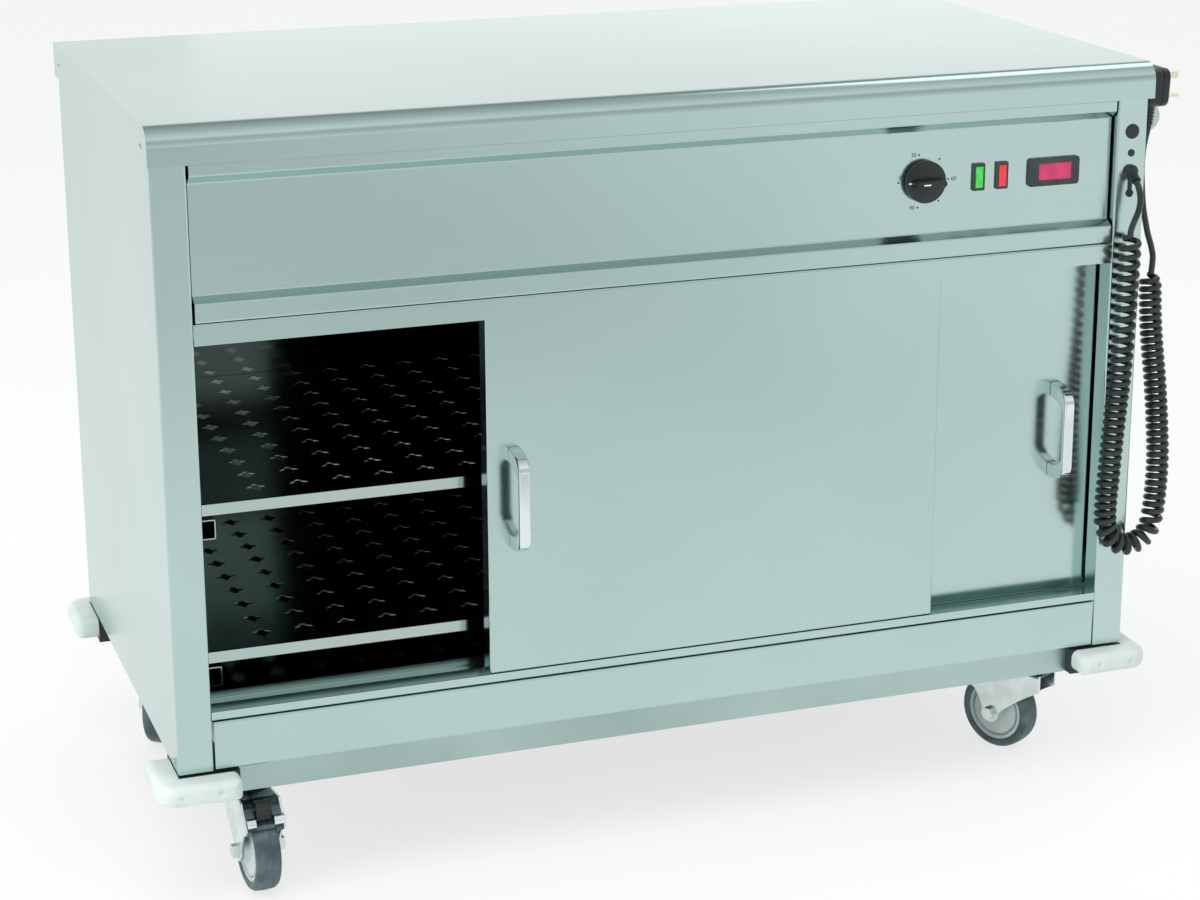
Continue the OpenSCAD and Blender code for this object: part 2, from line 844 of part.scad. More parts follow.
// The lead from the curls up beside the cabinet to the plug
plug_route = [
    [43, 10, -109], [39.5, 10, -95], [34.5, 10, -81], [30.5, 10, -66], [27.5, 11, -51],
    [25.5, 12, -35], [25, 14, -19], [25.5, 17, -3], [28, 21, 13], [32, 25, 28]
];

// The plug, parked beside the worktop's end with its pins outwards
plug_w = 50;
plug_h = 46;
plug_t = 26.5;
plug_y = front_y + 27;
plug_z = body_top - 15;
plug_x = side_x + cheek_t + screw_proud + CLEAR;
relief_x = plug_x + plug_t / 2;
relief_foot = [relief_x, plug_y, plug_z - relief_l];

// Turns wound before each point of the curls' middle line
curls_wound = [for (i = 0, sum = 0; i < len(curls_route); sum = sum + curls_route[i][3], i = i + 1) sum];
curls_last = len(curls_route) - 1;
curls_turns = curls_wound[curls_last];

function route_point(i) = let (p = curls_route[i]) [p.x, p.y, p.z];

// Advance of the middle line for each turn, at its point i
function route_slope(i) =
    let (before = max(i - 1, 0), after = min(i + 1, curls_last))
    (route_point(after) - route_point(before)) / (curls_wound[after] - curls_wound[before]);

// Place on the middle line after some turns: a cubic through its points
function curls_middle(turns) =
    let (i = max([for (k = [0:curls_last - 1]) if (k == 0 || curls_wound[k] <= turns) k]))
    let (h = curls_wound[i + 1] - curls_wound[i])
    let (t = (turns - curls_wound[i]) / h)
    (1 + 2 * t) * (1 - t) * (1 - t) * route_point(i) + t * (1 - t) * (1 - t) * h * route_slope(i)
    + t * t * (3 - 2 * t) * route_point(i + 1) - t * t * (1 - t) * h * route_slope(i + 1);

function rise(t) = t <= 0 ? 0 : t >= 1 ? 1 : t * t * (3 - 2 * t);

// Point of the cord after some turns: it circles the middle line, and spreads from it
// over the first turn and closes on it over the last
function curl_point(turns) =
    let (middle = curls_middle(turns))
    let (along = unit(curls_middle(turns + 0.05) - curls_middle(turns - 0.05)))
    let (inward = unit(cross(along, [0, 1, 0])))
    let (across = cross(inward, along))
    let (r = curl_r * rise(turns) * rise(curls_turns - turns))
    let (phase = 30 + 360 * turns)
    middle + r * (cos(phase) * inward - sin(phase) * across);

// Rings of points about a path, kept from twisting on the way
function tube_rings(path, r, sides, first_dir, last_dir) =
    let (last = len(path) - 1)
    let (ahead = [for (i = [0:last])
        i == 0 ? first_dir : i == last ? last_dir : unit(path[i + 1] - path[i - 1])])
    let (ups = [for (i = 0, u = unit(cross(ahead[0], [0, 1, 0.1]));
        i <= last;
        i = i + 1, u = i <= last ? unit(u - (u * ahead[i]) * ahead[i]) : u) u])
    [for (i = [0:last], k = [0:sides - 1])
        let (a = 360 * k / sides)
        path[i] + r * (cos(a) * ups[i] + sin(a) * cross(ahead[i], ups[i]))];

// Closed tube of rings of points, with flat ends
module tube(path, r, sides, first_dir, last_dir) {
    rings = len(path);
    walls = [for (i = [0:rings - 2], k = [0:sides - 1])
        let (a = i * sides + k, b = i * sides + (k + 1) % sides)
        each [[a, a + sides, b], [b, a + sides, b + sides]]];
    first_cap = [for (k = [1:sides - 2]) [0, k, k + 1]];
    end = (rings - 1) * sides;
    last_cap = [for (k = [1:sides - 2]) [end, end + k + 1, end + k]];
    polyhedron(tube_rings(path, r, sides, first_dir, last_dir), concat(walls, first_cap, last_cap));
}

module gland_lead() {
    path = concat([gland_exit], gland_route, [curls_start]);
    color("black") translate(gland_place) tube(path, cord_r, 10, gland_out, curls_start_out);
}

module curly_cord() {
    count = floor(curls_turns * RINGS_PER_CURL);
    curls = [for (k = [0:count]) curl_point(k / RINGS_PER_CURL)];
    path = concat([curls_start], curls, [curls_end]);
    gap = min([for (i = [0:count - 5], j = [i + 5:min(i + 40, count)]) norm(curls[i] - curls[j])]) - cord_d;
    echo(str("Turns of the curly cord: ", curls_turns, ", least gap to itself: ", gap, " mm"));
    color("black") translate(gland_place) tube(path, cord_r, 6, curls_start_out, curls_end_out);
}

module plug_lead() {
    path = concat([curls_end], plug_route, [relief_foot - gland_place]);
    color("black") translate(gland_place) tube(path, cord_r, 10, curls_end_out, [0, 0, 1]);
}

// Tapered sleeve with ribs, below the plug
module plug_strain_relief() {
    ribs = 6;
    top_r = cord_r + 3;
    foot_r = cord_r + 1;
    pitch = relief_l / ribs;
    color("black") translate(relief_foot) rotate_extrude() polygon(concat(
        [[0, 0]],
        [for (i = [0:ribs - 1])
            let (r = foot_r + (top_r - foot_r) * i / (ribs - 1))
            let (z = i * pitch, step_z = (i + 0.4) * pitch)
            each [[r - 1, z], [r - 1, step_z], [r + 0.5, step_z], [r + 0.5, z + pitch]]],
        [[0, relief_l]]
    ));
}

module mains_plug() {
    color("black") translate([0, plug_y, plug_z + plug_h / 2]) {
        along_x(plug_x, plug_x + plug_t) polygon(rounded_rect(plug_w, plug_h, 9));
    }
}

// Three flat pins of a British mains plug
module plug_pins() {
    x = plug_x + plug_t;
    color("gold") {
        translate([x, plug_y - 2, plug_z + 30.7]) cube([22.7, 4, 8]);
        for (s = [-1, 1]) translate([x, plug_y + s * 11.1 - 3.2, plug_z + 10.5]) cube([17.7, 6.4, 4]);
    }
}

// ---- doors ----------------------------------------------------------------

// Hollow steel door with two small drain slots in its lower edge
module door(x, y) {
    slot_w = 30;
    difference() {
        translate([x + door_w / 2, y + door_t / 2, door_z])
            linear_extrude(door_top - door_z) polygon(rounded_rect(door_w, door_t, 2, 3));
        block([x + door_skin, y + door_skin, door_z + door_skin],
              [x + door_w - door_skin, y + door_t - door_skin, door_top - door_skin]);
        for (slot_x = [x + door_w / 4, x + door_w * 3 / 4]) {
            block([slot_x - slot_w / 2, y + door_t / 3, door_z - OVER],
                  [slot_x + slot_w / 2, y + door_t * 2 / 3, door_z + door_skin + OVER]);
        }
    }
}

// Handle bent from flat bar, its feet on a door's face
module door_handle(x, y) {
    foot = 1.7 * handle_t;
    inner = grip_h / 2 - 0.45 * handle_t;
    translate([0, y, handle_z]) along_x(x - handle_w / 2, x + handle_w / 2) polygon([
        [0, -handle_h / 2], [0, foot - handle_h / 2],
        [handle_t - handle_out, -inner], [handle_t - handle_out, inner],
        [0, handle_h / 2 - foot], [0, handle_h / 2],
        [-handle_out, grip_h / 2], [-handle_out, -grip_h / 2]
    ]);
}

module front_door() {
    color("lightcyan") door(front_door_x, front_door_y);
}

module front_door_handle() {
    color("white") door_handle(front_door_x + front_handle_in, front_door_y);
}

module rear_door() {
    color("lightcyan") door(rear_door_x, rear_door_y);
}

module rear_door_handle() {
    color("white") door_handle(rear_door_x + door_w - rear_handle_in, rear_door_y);
}

// ---- base -----------------------------------------------------------------

// Flat rectangle of square tube with two cross members, or the space inside the tube
module frame_tubes(w, margin) {
    for (s = [-1, 1]) {
        translate([-base_x - margin, s * (base_y - tube_w / 2) - w / 2]) square([2 * (base_x + margin), w]);
        for (x = [base_x - tube_w / 2, castor_x]) {
            translate([s * x - w / 2, -base_y + tube_w / 2]) square([w, 2 * base_y - tube_w]);
        }
    }
}

module base_frame() {
    inner_w = tube_w - 2 * tube_t;
    color("silver") difference() {
        translate([0, 0, frame_z]) linear_extrude(tube_w) frame_tubes(tube_w, 0);
        translate([0, 0, frame_z + tube_t]) linear_extrude(inner_w) frame_tubes(inner_w, OVER);
    }
}

module four_corners() {
    for (s = castor_signs) scale([s.x, s.y, 1]) children();
}

// Upright edge of a bumper's section, rounded above and below; u runs outwards
function bumper_section(u0, u1) =
    concat(
        [[u0, 0]],
        corner_arc([u1, 0], [1, 0], [0, 1], bumper_edge_r, 6),
        corner_arc([u1, bumper_h], [0, 1], [-1, 0], bumper_edge_r, 6),
        [[u0, bumper_h]]
    );

// Plan of a bumper, for the corner at the right and the back
function bumper_plan() =
    let (ox = bumper_outer_x, oy = bumper_outer_y)
    concat(
        [[ox - bumper_l, oy - bumper_t]],
        corner_arc([ox - bumper_l, oy], [0, 1], [1, 0], bumper_end_r, 6),
        corner_arc([ox, oy], [1, 0], [0, -1], bumper_r, 12),
        corner_arc([ox, oy - bumper_l], [0, -1], [-1, 0], bumper_end_r, 6),
        [[ox - bumper_t, oy - bumper_l], [ox - bumper_t, oy - bumper_t]]
    );

module bumper() {
    ox = bumper_outer_x;
    oy = bumper_outer_y;
    difference() {
        intersection() {
            linear_extrude(bumper_h) polygon(bumper_plan());
            union() {
                along_x(ox - bumper_l - OVER, ox - bumper_r) polygon(bumper_section(oy - bumper_t, oy));
                translate([0, oy - bumper_r, 0]) rotate([90, 0, 0])
                    linear_extrude(bumper_l - bumper_r + OVER) polygon(bumper_section(ox - bumper_t, ox));
                translate([ox - bumper_r, oy - bumper_r, 0])
                    rotate_extrude(angle = 90) polygon(bumper_section(0, bumper_r));
            }
        }
        for (in = [27.5, 70.5]) {
            bar_y(ox - in, bumper_h / 2, oy - 4, oy + OVER, 4);
            bar_x(oy - in, bumper_h / 2, ox - 4, ox + OVER, 4);
        }
    }
}

module corner_bumpers() {
    color("white") four_corners() translate([0, 0, bumper_z]) bumper();
}

// Blocks between the base frame and the bumpers
module bumper_blocks() {
    l = bumper_l - bumper_t + 1;
    x = side_x;
    y = body_d / 2;
    color("black") four_corners() translate([0, 0, bumper_z - 1]) linear_extrude(bumper_h + 2) polygon([
        [x, y], [x - l, y], [x - l, y - base_in], [x - base_in, y - base_in], [x - base_in, y - l], [x, y - l]
    ]);
}

// ---- castors --------------------------------------------------------------

// Puts a castor's pieces at one corner of the base; X then runs along the trail
module at_castor(i) {
    translate([castor_signs[i].x * castor_x, castor_signs[i].y * castor_y, 0])
        rotate([0, 0, castor_angles[i]]) children();
}

// Plates with the upper bearing race and the kingpin
module castor_plates() {
    race_z = fork_z + fork_t + race_t + CLEAR;
    outline = rounded_rect(plate_l, plate_w, 8, 3);
    color("silver") for (s = castor_signs) translate([s.x * castor_x, s.y * castor_y, 0]) {
        difference() {
            translate([0, 0, frame_z - plate_t]) linear_extrude(plate_t) polygon(outline);
            for (bx = [-bolt_x, bolt_x], by = [-bolt_y, bolt_y]) {
                translate([bx, by, frame_z - plate_t - OVER])
                    cylinder(h = plate_t + 2 * OVER, r = bolt_r + FIT);
            }
        }
        translate([0, 0, race_z]) cylinder(h = frame_z - plate_t - race_z, r = race_r);
        translate([0, 0, fork_z - kingpin_foot]) {
            cylinder(h = frame_z - plate_t - fork_z + kingpin_foot, r = kingpin_r);
            cylinder(h = kingpin_foot - CLEAR, r = kingpin_r + 4);
        }
    }
}

module castor_bolts() {
    color("gray") for (s = castor_signs, bx = [-bolt_x, bolt_x], by = [-bolt_y, bolt_y]) {
        translate([s.x * castor_x + bx, s.y * castor_y + by, frame_z - plate_t]) {
            cylinder(h = plate_t, r = bolt_r);
            translate([0, 0, -bolt_head_h]) cylinder(h = bolt_head_h, r = bolt_head_r, $fn = 6);
        }
    }
}

// Side view of a fork's leg, which reaches out to the hood's lip where it carries a brake
module fork_leg(brake) {
    top = fork_z + fork_t;
    polygon([
        [-fork_front, top], [trail + fork_back, top], [trail + cheek_r, axle_z],
        [trail - cheek_r, axle_z], [-fork_front, fork_z - 19]
    ]);
    translate([trail, axle_z]) circle(cheek_r);
    if (brake) polygon([
        [trail, top], [trail + fork_back, top], hood_lip, [hood_lip.x - 3, hood_lip.y - 6],
        [trail + cheek_r, axle_z + 12], [trail, axle_z]
    ]);
}

// Sheet that slopes from the fork's crown to the lip over the wheel, open in the middle for the pedal
module brake_hood() {
    crown_end = [trail + fork_back, fork_z + fork_t];
    section = bent_sheet([[trail, crown_end.y], crown_end, hood_lip], -fork_t, fork_t + 1);
    difference() {
        along_y(-leg_y - OVER, leg_y + OVER) polygon(section);
        block([trail, -hood_opening_w / 2, axle_z],
              [hood_lip.x - 4, hood_opening_w / 2, fork_z + fork_t + OVER]);
    }
}

module fork(i, brake = false) {
    color("silver") at_castor(i) difference() {
        union() {
            for (s = [-1, 1]) {
                y = s > 0 ? leg_y : -leg_y - fork_t;
                along_y(y, y + fork_t) fork_leg(brake);
            }
            block([-fork_front, -leg_y - OVER, fork_z], [trail + fork_back, leg_y + OVER, fork_z + fork_t]);
            translate([0, 0, fork_z]) cylinder(h = fork_t + race_t, r = race_r - 3);
            if (brake) {
                brake_hood();
                bar_y(pedal_pin.x, pedal_pin.y, -leg_y - OVER, leg_y + OVER, pedal_pin_r);
            }
        }
        translate([0, 0, fork_z - OVER]) cylinder(h = fork_t + race_t + 2 * OVER, r = kingpin_r + FIT);
        bar_y(trail, axle_z, -leg_y - fork_t - OVER, leg_y + fork_t + OVER, axle_r + FIT);
    }
}

// Bolt through the wheel, with its head and nut outside the fork
module axle(i) {
    outer_y = leg_y + fork_t;
    head = 7;
    color("gray") at_castor(i) {
        bar_y(trail, axle_z, -outer_y - head, outer_y + head, axle_r);
        for (y = [-outer_y, outer_y + head]) {
            translate([trail, y, axle_z]) rotate([90, 0, 0]) cylinder(h = head, r = axle_r * 1.7, $fn = 6);
        }
    }
}

// Turns a section about a wheel's axle; its second axis runs along the axle
module turned_on_axle(i, section) {
    at_castor(i) translate([trail, 0, axle_z]) rotate([90, 0, 0]) rotate_extrude() polygon(section);
}

module hub(i) {
    rim = wheel_w / 2 - 2;
    bore_r = axle_r + FIT;
    boss_r = axle_r + 7;
    half = [
        [hub_r, rim], [hub_r - 4, rim], [hub_r - 6, 5],
        [boss_r + 2, 5], [boss_r, hub_w / 2], [bore_r, hub_w / 2]
    ];
    other_half = [for (k = [len(half) - 1:-1:0]) [half[k].x, -half[k].y]];
    color("gainsboro") turned_on_axle(i, concat(half, other_half));
}

module tyre(i) {
    r = wheel_d / 2;
    w = wheel_w / 2;
    color("dimgray") turned_on_axle(i, concat(
        [[hub_r, -w + 2]],
        corner_arc([r, -w], [1, 0], [0, 1], 6),
        corner_arc([r, w], [0, 1], [-1, 0], 6),
        [[hub_r, w - 2]]
    ));
}

// Foot pedal of a castor's brake, on a pin in the hood's opening
module brake_pedal(i) {
    half_w = pedal_w / 2;
    color("black") at_castor(i) translate([pedal_pin.x, 0, pedal_pin.y]) difference() {
        union() {
            bar_y(0, 0, -half_w, half_w, pedal_pin_r + 3);
            along_y(-half_w, half_w) polygon([
                [-3, -4.5], [3, -9], [9.5, -11], [12, -9.5], [14, 4],
                [12.5, 10.5], [7, 12.5], [0, 11], [-3, 5]
            ]);
        }
        bar_y(0, 0, -half_w - OVER, half_w + OVER, pedal_pin_r + FIT);
    }
}

module front_left_fork() { fork(0, true); }
module front_left_axle() { axle(0); }
module front_left_hub() { hub(0); }
module front_left_tyre() { tyre(0); }
module front_left_brake_pedal() { brake_pedal(0); }
module front_right_fork() { fork(1, true); }
module front_right_axle() { axle(1); }
module front_right_hub() { hub(1); }
module front_right_tyre() { tyre(1); }
module front_right_brake_pedal() { brake_pedal(1); }
module rear_left_fork() { fork(2); }
module rear_left_axle() { axle(2); }
module rear_left_hub() { hub(2); }
module rear_left_tyre() { tyre(2); }
module rear_right_fork() { fork(3); }
module rear_right_axle() { axle(3); }
module rear_right_hub() { hub(3); }
module rear_right_tyre() { tyre(3); }

worktop();
worktop_end_cheeks();
worktop_stiffeners();
panel_screws();
left_side_panel();
right_side_panel();
back_panel();
inner_liner();
control_fascia();
door_header_rail();
bottom_track();
front_lower_panel();
base_frame();
shelf_runners();
upper_shelf();
lower_shelf();
heating_element();
thermostat_body();
thermostat_spindle();
control_knob();
thermometer_module();
display_window();
control_bezels();
green_lens();
red_lens();
blanking_plugs();
cord_gland();
plug_rest();
gland_lead();
curly_cord();
plug_lead();
plug_strain_relief();
mains_plug();
plug_pins();
front_door();
front_door_handle();
rear_door();
rear_door_handle();
corner_bumpers();
bumper_blocks();
castor_plates();
castor_bolts();
front_left_fork();
front_left_axle();
front_left_hub();
front_left_tyre();
front_right_fork();
front_right_axle();
front_right_hub();
front_right_tyre();
rear_left_fork();
rear_left_axle();
rear_left_hub();
rear_left_tyre();
rear_right_fork();
rear_right_axle();
rear_right_hub();
rear_right_tyre();
front_left_brake_pedal();
front_right_brake_pedal();
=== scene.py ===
"""The looks of a stainless hostess trolley. Lengths are in metres unless a name says otherwise.

X runs to the right seen from the doors, Y to the back and Z up. The floor is at Z 0.
"""

import json

import bmesh
import bpy
import numpy as np
from mathutils import Matrix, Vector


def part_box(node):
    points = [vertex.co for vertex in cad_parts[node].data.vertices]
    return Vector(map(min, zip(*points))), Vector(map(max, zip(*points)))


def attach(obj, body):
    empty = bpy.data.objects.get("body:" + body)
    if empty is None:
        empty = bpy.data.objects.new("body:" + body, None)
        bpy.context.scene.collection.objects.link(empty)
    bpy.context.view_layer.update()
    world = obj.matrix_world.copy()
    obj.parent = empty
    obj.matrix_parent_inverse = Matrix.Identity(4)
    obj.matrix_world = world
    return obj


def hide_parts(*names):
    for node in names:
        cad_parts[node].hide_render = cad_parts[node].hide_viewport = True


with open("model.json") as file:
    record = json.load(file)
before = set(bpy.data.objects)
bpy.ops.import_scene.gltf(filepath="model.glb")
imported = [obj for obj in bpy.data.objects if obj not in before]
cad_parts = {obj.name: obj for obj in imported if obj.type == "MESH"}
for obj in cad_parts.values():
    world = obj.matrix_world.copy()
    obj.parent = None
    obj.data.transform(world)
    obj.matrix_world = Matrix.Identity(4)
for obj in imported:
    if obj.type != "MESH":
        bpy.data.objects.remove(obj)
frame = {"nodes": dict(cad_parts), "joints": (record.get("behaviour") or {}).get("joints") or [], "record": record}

MM = 0.001
CABINET = "cabinet"
CORNERS = ("front_left", "front_right", "rear_left", "rear_right")
JOINTS = {joint["name"]: joint for joint in frame["joints"]}
SLOT_OF = {row["node"]: row["material_slot"] for row in frame["record"]["subparts"]}
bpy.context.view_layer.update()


def unit(v):
    """The vectors in the last axis, each divided by its length."""
    v = np.asarray(v, float)
    return v / np.linalg.norm(v, axis=-1, keepdims=True)


def in_scene(name, data):
    """A new object of the scene that holds some data."""
    thing = bpy.data.objects.new(name, data)
    bpy.context.scene.collection.objects.link(thing)
    return thing


def stand(thing, place, right, up, back):
    """Puts an object in its place, with its X, Y and Z axes along right, up and back."""
    matrix = np.eye(4)
    matrix[:3, :3] = np.stack([right, up, back], axis=1)
    matrix[:3, 3] = place
    thing.matrix_world = Matrix(matrix.tolist())


def empty_tree(owner):
    """The node tree of a material or world, with nothing in it yet."""
    owner.use_nodes = True
    owner.node_tree.nodes.clear()
    return owner.node_tree


# ---- camera ----------------------------------------------------------------

IMAGE_W_PX = 1200
IMAGE_H_PX = 900
FOCAL_PX = 2743
CENTRE_PX = (625, 402.5)
SENSOR_MM = 36
CAMERA_PLACE = (-1.0944, -3.1248, 1.4287)
CAMERA_AZIMUTH, CAMERA_ELEVATION, CAMERA_ROLL = np.radians([-20.0, 16.35, -0.08])


def make_camera():
    """A level camera turned by its azimuth and elevation, then rolled about its own line of sight."""
    flat = np.cos(CAMERA_ELEVATION)
    back = np.array(
        [np.sin(CAMERA_AZIMUTH) * flat, -np.cos(CAMERA_AZIMUTH) * flat, np.sin(CAMERA_ELEVATION)]
    )
    level = unit(np.cross(-back, [0, 0, 1]))
    upright = np.cross(level, -back)
    right = np.cos(CAMERA_ROLL) * level + np.sin(CAMERA_ROLL) * upright
    up = np.cos(CAMERA_ROLL) * upright - np.sin(CAMERA_ROLL) * level
    data = bpy.data.cameras.new("camera")
    data.sensor_width = SENSOR_MM
    data.lens = SENSOR_MM * FOCAL_PX / IMAGE_W_PX
    data.shift_x = (IMAGE_W_PX / 2 - CENTRE_PX[0]) / IMAGE_W_PX
    data.shift_y = (CENTRE_PX[1] - IMAGE_H_PX / 2) / IMAGE_W_PX
    camera = in_scene("camera", data)
    stand(camera, CAMERA_PLACE, right, up, back)
    bpy.context.scene.camera = camera


# ---- materials -------------------------------------------------------------


def linear(hex_colour):
    """An sRGB hex colour as linear red, green, blue and alpha."""
    srgb = np.array([int(hex_colour[i : i + 2], 16) for i in (1, 3, 5)]) / 255
    rgb = np.where(srgb <= 0.04045, srgb / 12.92, ((srgb + 0.055) / 1.055) ** 2.4)
    return (*rgb.tolist(), 1.0)


def add(tree, kind, links=None, **settings):
    """Adds a node. settings are its properties; links are its inputs, each a value or the output of
    another node."""
    node = tree.nodes.new(kind)
    for key, value in settings.items():
        setattr(node, key, value)
    for key, value in (links or {}).items():
        if isinstance(value, bpy.types.NodeSocket):
            tree.links.new(value, node.inputs[key])
        else:
            node.inputs[key].default_value = value
    return node


def finish(name, dark, light, roughness, grain_mm, bump_mm=0.0, blotch_mm=300, **constant):
    """A material whose colour drifts between two hex colours over blotches, and whose roughness and
    bump follow a grain. grain_mm is the grain's size along X, Y and Z, so a long thin grain is brushed.
    roughness is a low and a high value, and constant gives the shader's own even values."""
    material = bpy.data.materials.new(name)
    tree = empty_tree(material)
    place = add(tree, "ShaderNodeTexCoord").outputs["Object"]
    blotch = add(
        tree, "ShaderNodeTexNoise", {"Vector": place, "Scale": 1 / (blotch_mm * MM), "Detail": 3.0}
    ).outputs[0]
    stretched = add(
        tree, "ShaderNodeMapping", {"Vector": place, "Scale": tuple(1 / (size * MM) for size in grain_mm)}
    ).outputs[0]
    grain = add(
        tree, "ShaderNodeTexNoise", {"Vector": stretched, "Scale": 1.0, "Detail": 3.0}
    ).outputs[0]
    share = add(
        tree, "ShaderNodeMapRange", {"Value": blotch, "From Min": 0.35, "From Max": 0.65}
    ).outputs[0]
    colour = add(
        tree, "ShaderNodeMix", {0: share, 6: linear(dark), 7: linear(light)}, data_type="RGBA"
    ).outputs[2]
    rough = add(
        tree,
        "ShaderNodeMapRange",
        {"Value": grain, "From Min": 0.3, "From Max": 0.7, "To Min": roughness[0], "To Max": roughness[1]},
    ).outputs[0]
    shader = {"Base Color": colour, "Roughness": rough, **constant}
    if bump_mm:
        shader["Normal"] = add(
            tree, "ShaderNodeBump", {"Height": grain, "Distance": bump_mm * MM, "Strength": 1.0}
        ).outputs[0]
    principled = add(tree, "ShaderNodeBsdfPrincipled", shader)
    add(tree, "ShaderNodeOutputMaterial", {"Surface": principled.outputs[0]})
    return material


def make_materials():
    """Every finish on the trolley, by its name. The polished grain is drawn 2 mm wide and the moulded
    plastics' texture 0.8 to 1.5 mm wide, so that they show: the real ones are about 0.1 mm."""
    metal = {"Metallic": 1.0}
    return {
        # 304 stainless sheet, dull-polished along its length: soft reflections drawn out across the grain
        "stainless": finish(
            "satin_stainless", "#B2CAC6", "#BAD1CD", (0.15, 0.21), (90, 2, 2), 0.005, 600, **metal
        ),
        # the same sheet with its polish upright, as on the sides and posts
        "stainless_upright": finish(
            "satin_stainless_upright", "#B6CDC9", "#BED4D0", (0.19, 0.24), (2, 2, 90), 0.004, 600, **metal
        ),
        # 430 stainless walls of the cupboard, painted dark as the shade inside the cupboard
        "inner_stainless": finish(
            "stainless_painted_with_shade", "#56625F", "#6B7775", (0.08, 0.13), (60, 2, 2), 0.003, **metal
        ),
        # bright-rolled sheet of the shelves and runners: mirrors the light at its edges
        "shelf_stainless": finish(
            "bright_rolled_stainless", "#A9BAB7", "#B6C6C3", (0.08, 0.13), (60, 2, 2), 0.003, 400, **metal
        ),
        # punched edge of the same sheet: rough, and painted paler than the sheet as a highlight, a pale line lit
        # from the open front
        "cut_edge_highlight": finish("punched_edge_painted_highlight", "#C8D6D4", "#DCE8E6", (0.5, 0.6), (2, 2, 2), 0.0, 40, **metal),
        # welded stainless box tube, left with its mill finish
        "frame_steel": finish(
            "mill_stainless", "#A0B7B3", "#B2C8C5", (0.34, 0.46), (80, 2, 2), 0.02, **metal
        ),
        # bright zinc plate over pressed steel: pale, a little cloudy
        "zinc": finish(
            "bright_zinc_plate", "#CEDBD9", "#E2ECEA", (0.15, 0.26), (6, 6, 6), 0.015, 25, **metal
        ),
        # bright zinc of the brake hoods, crowns and races, painted dark for the shade and dark reflections under
        # the trolley, with a dull sheen
        "dark_zinc": finish(
            "zinc_painted_with_shade", "#51656A", "#63787C", (0.24, 0.36), (6, 6, 6), 0.015, 25, **metal
        ),
        # chromium plate over cast zinc: a near mirror
        "chrome": finish("chromium_plate", "#D2DCDC", "#E4ECEC", (0.06, 0.11), (8, 8, 8), 0.0, 60, **metal),
        # the same plate painted dark as shade on the handle's back, which faces the door across the finger gap
        "painted_shade_chrome": finish(
            "chromium_painted_with_shade", "#3E4F52", "#4B5D60", (0.3, 0.4), (8, 8, 8), 0.0, 60, **metal
        ),
        # moulded ABS with a spark-eroded texture: satin black
        "black_plastic": finish(
            "moulded_black_abs", "#121B1C", "#1D2829", (0.34, 0.46), (0.8, 0.8, 0.8), 0.03, 40
        ),
        # glossier ABS of the bezels, dark grey-green
        "bezel_plastic": finish("bezel_abs", "#263436", "#314143", (0.22, 0.32), (1, 1, 1), 0.01, 30),
        # polycarbonate lenses, lit from behind
        "green_lens": finish(
            "green_polycarbonate", "#1E9E33", "#2FC844", (0.12, 0.2), (2, 2, 2), 0.01, 12,
            **{"Emission Color": linear("#2FCF45"), "Emission Strength": 0.35, "Coat Weight": 0.4},
        ),
        "red_lens": finish(
            "red_polycarbonate", "#C8182A", "#E8283A", (0.12, 0.2), (2, 2, 2), 0.01, 12,
            **{"Emission Color": linear("#E2202C"), "Emission Strength": 0.3, "Coat Weight": 0.4},
        ),
        # tinted acrylic filter in front of the thermometer
        "display": finish(
            "crimson_acrylic_filter", "#A82650", "#C83A6C", (0.18, 0.28), (3, 3, 3), 0.01, 15,
            **{"Emission Color": linear("#C0305F"), "Emission Strength": 0.25},
        ),
        # extruded PVC sheath: smooth satin black with a faint greenish sheen
        "cord_rubber": finish(
            "pvc_cord_sheath", "#141D1E", "#202B2C", (0.28, 0.38), (3, 3, 3), 0.02, 30,
            **{"Coat Weight": 0.15, "Coat Roughness": 0.3},
        ),
        # moulded nylon, matt with a waxy depth
        "white_nylon": finish(
            "moulded_nylon", "#D3E0DD", "#E2ECEA", (0.42, 0.54), (1.5, 1.5, 1.5), 0.04, 50,
            **{"Subsurface Weight": 0.08, "Subsurface Radius": (0.004, 0.004, 0.004)},
        ),
        # grey polypropylene of the wheel centres
        "grey_nylon": finish(
            "wheel_polypropylene", "#C2D0CE", "#D3DFDD", (0.38, 0.5), (1.5, 1.5, 1.5), 0.03, 30
        ),
        # non-marking rubber tread, scuffed
        "tyre": finish("grey_tread_rubber", "#3D4F51", "#5A6E71", (0.38, 0.55), (3, 3, 3), 0.08, 18),
        # oxidised sheath of a heating element
        "element": finish(
            "oxidised_steel_sheath", "#3B3D3C", "#575957", (0.4, 0.55), (3, 3, 3), 0.02, 40, **metal
        ),
        # nickel-plated brass pins
        "brass": finish("nickelled_brass", "#D9D3B8", "#EFEBDD", (0.14, 0.22), (4, 4, 4), 0.0, 20, **metal),
        # white and black printing ink
        "white_ink": finish("white_ink", "#E9F2F0", "#F6FBFA", (0.45, 0.55), (1, 1, 1), 0.0, 10),
        "black_ink": finish("black_ink", "#2B3A3B", "#384849", (0.5, 0.6), (1, 1, 1), 0.0, 10),
    }


# ---- meshes ----------------------------------------------------------------

WELD = 0.00001
BEVEL_FROM_DEG = 30
# a turned solid's profile starts and ends this close to its axis, and a cap closes it
NEAR_AXIS_MM = 0.2


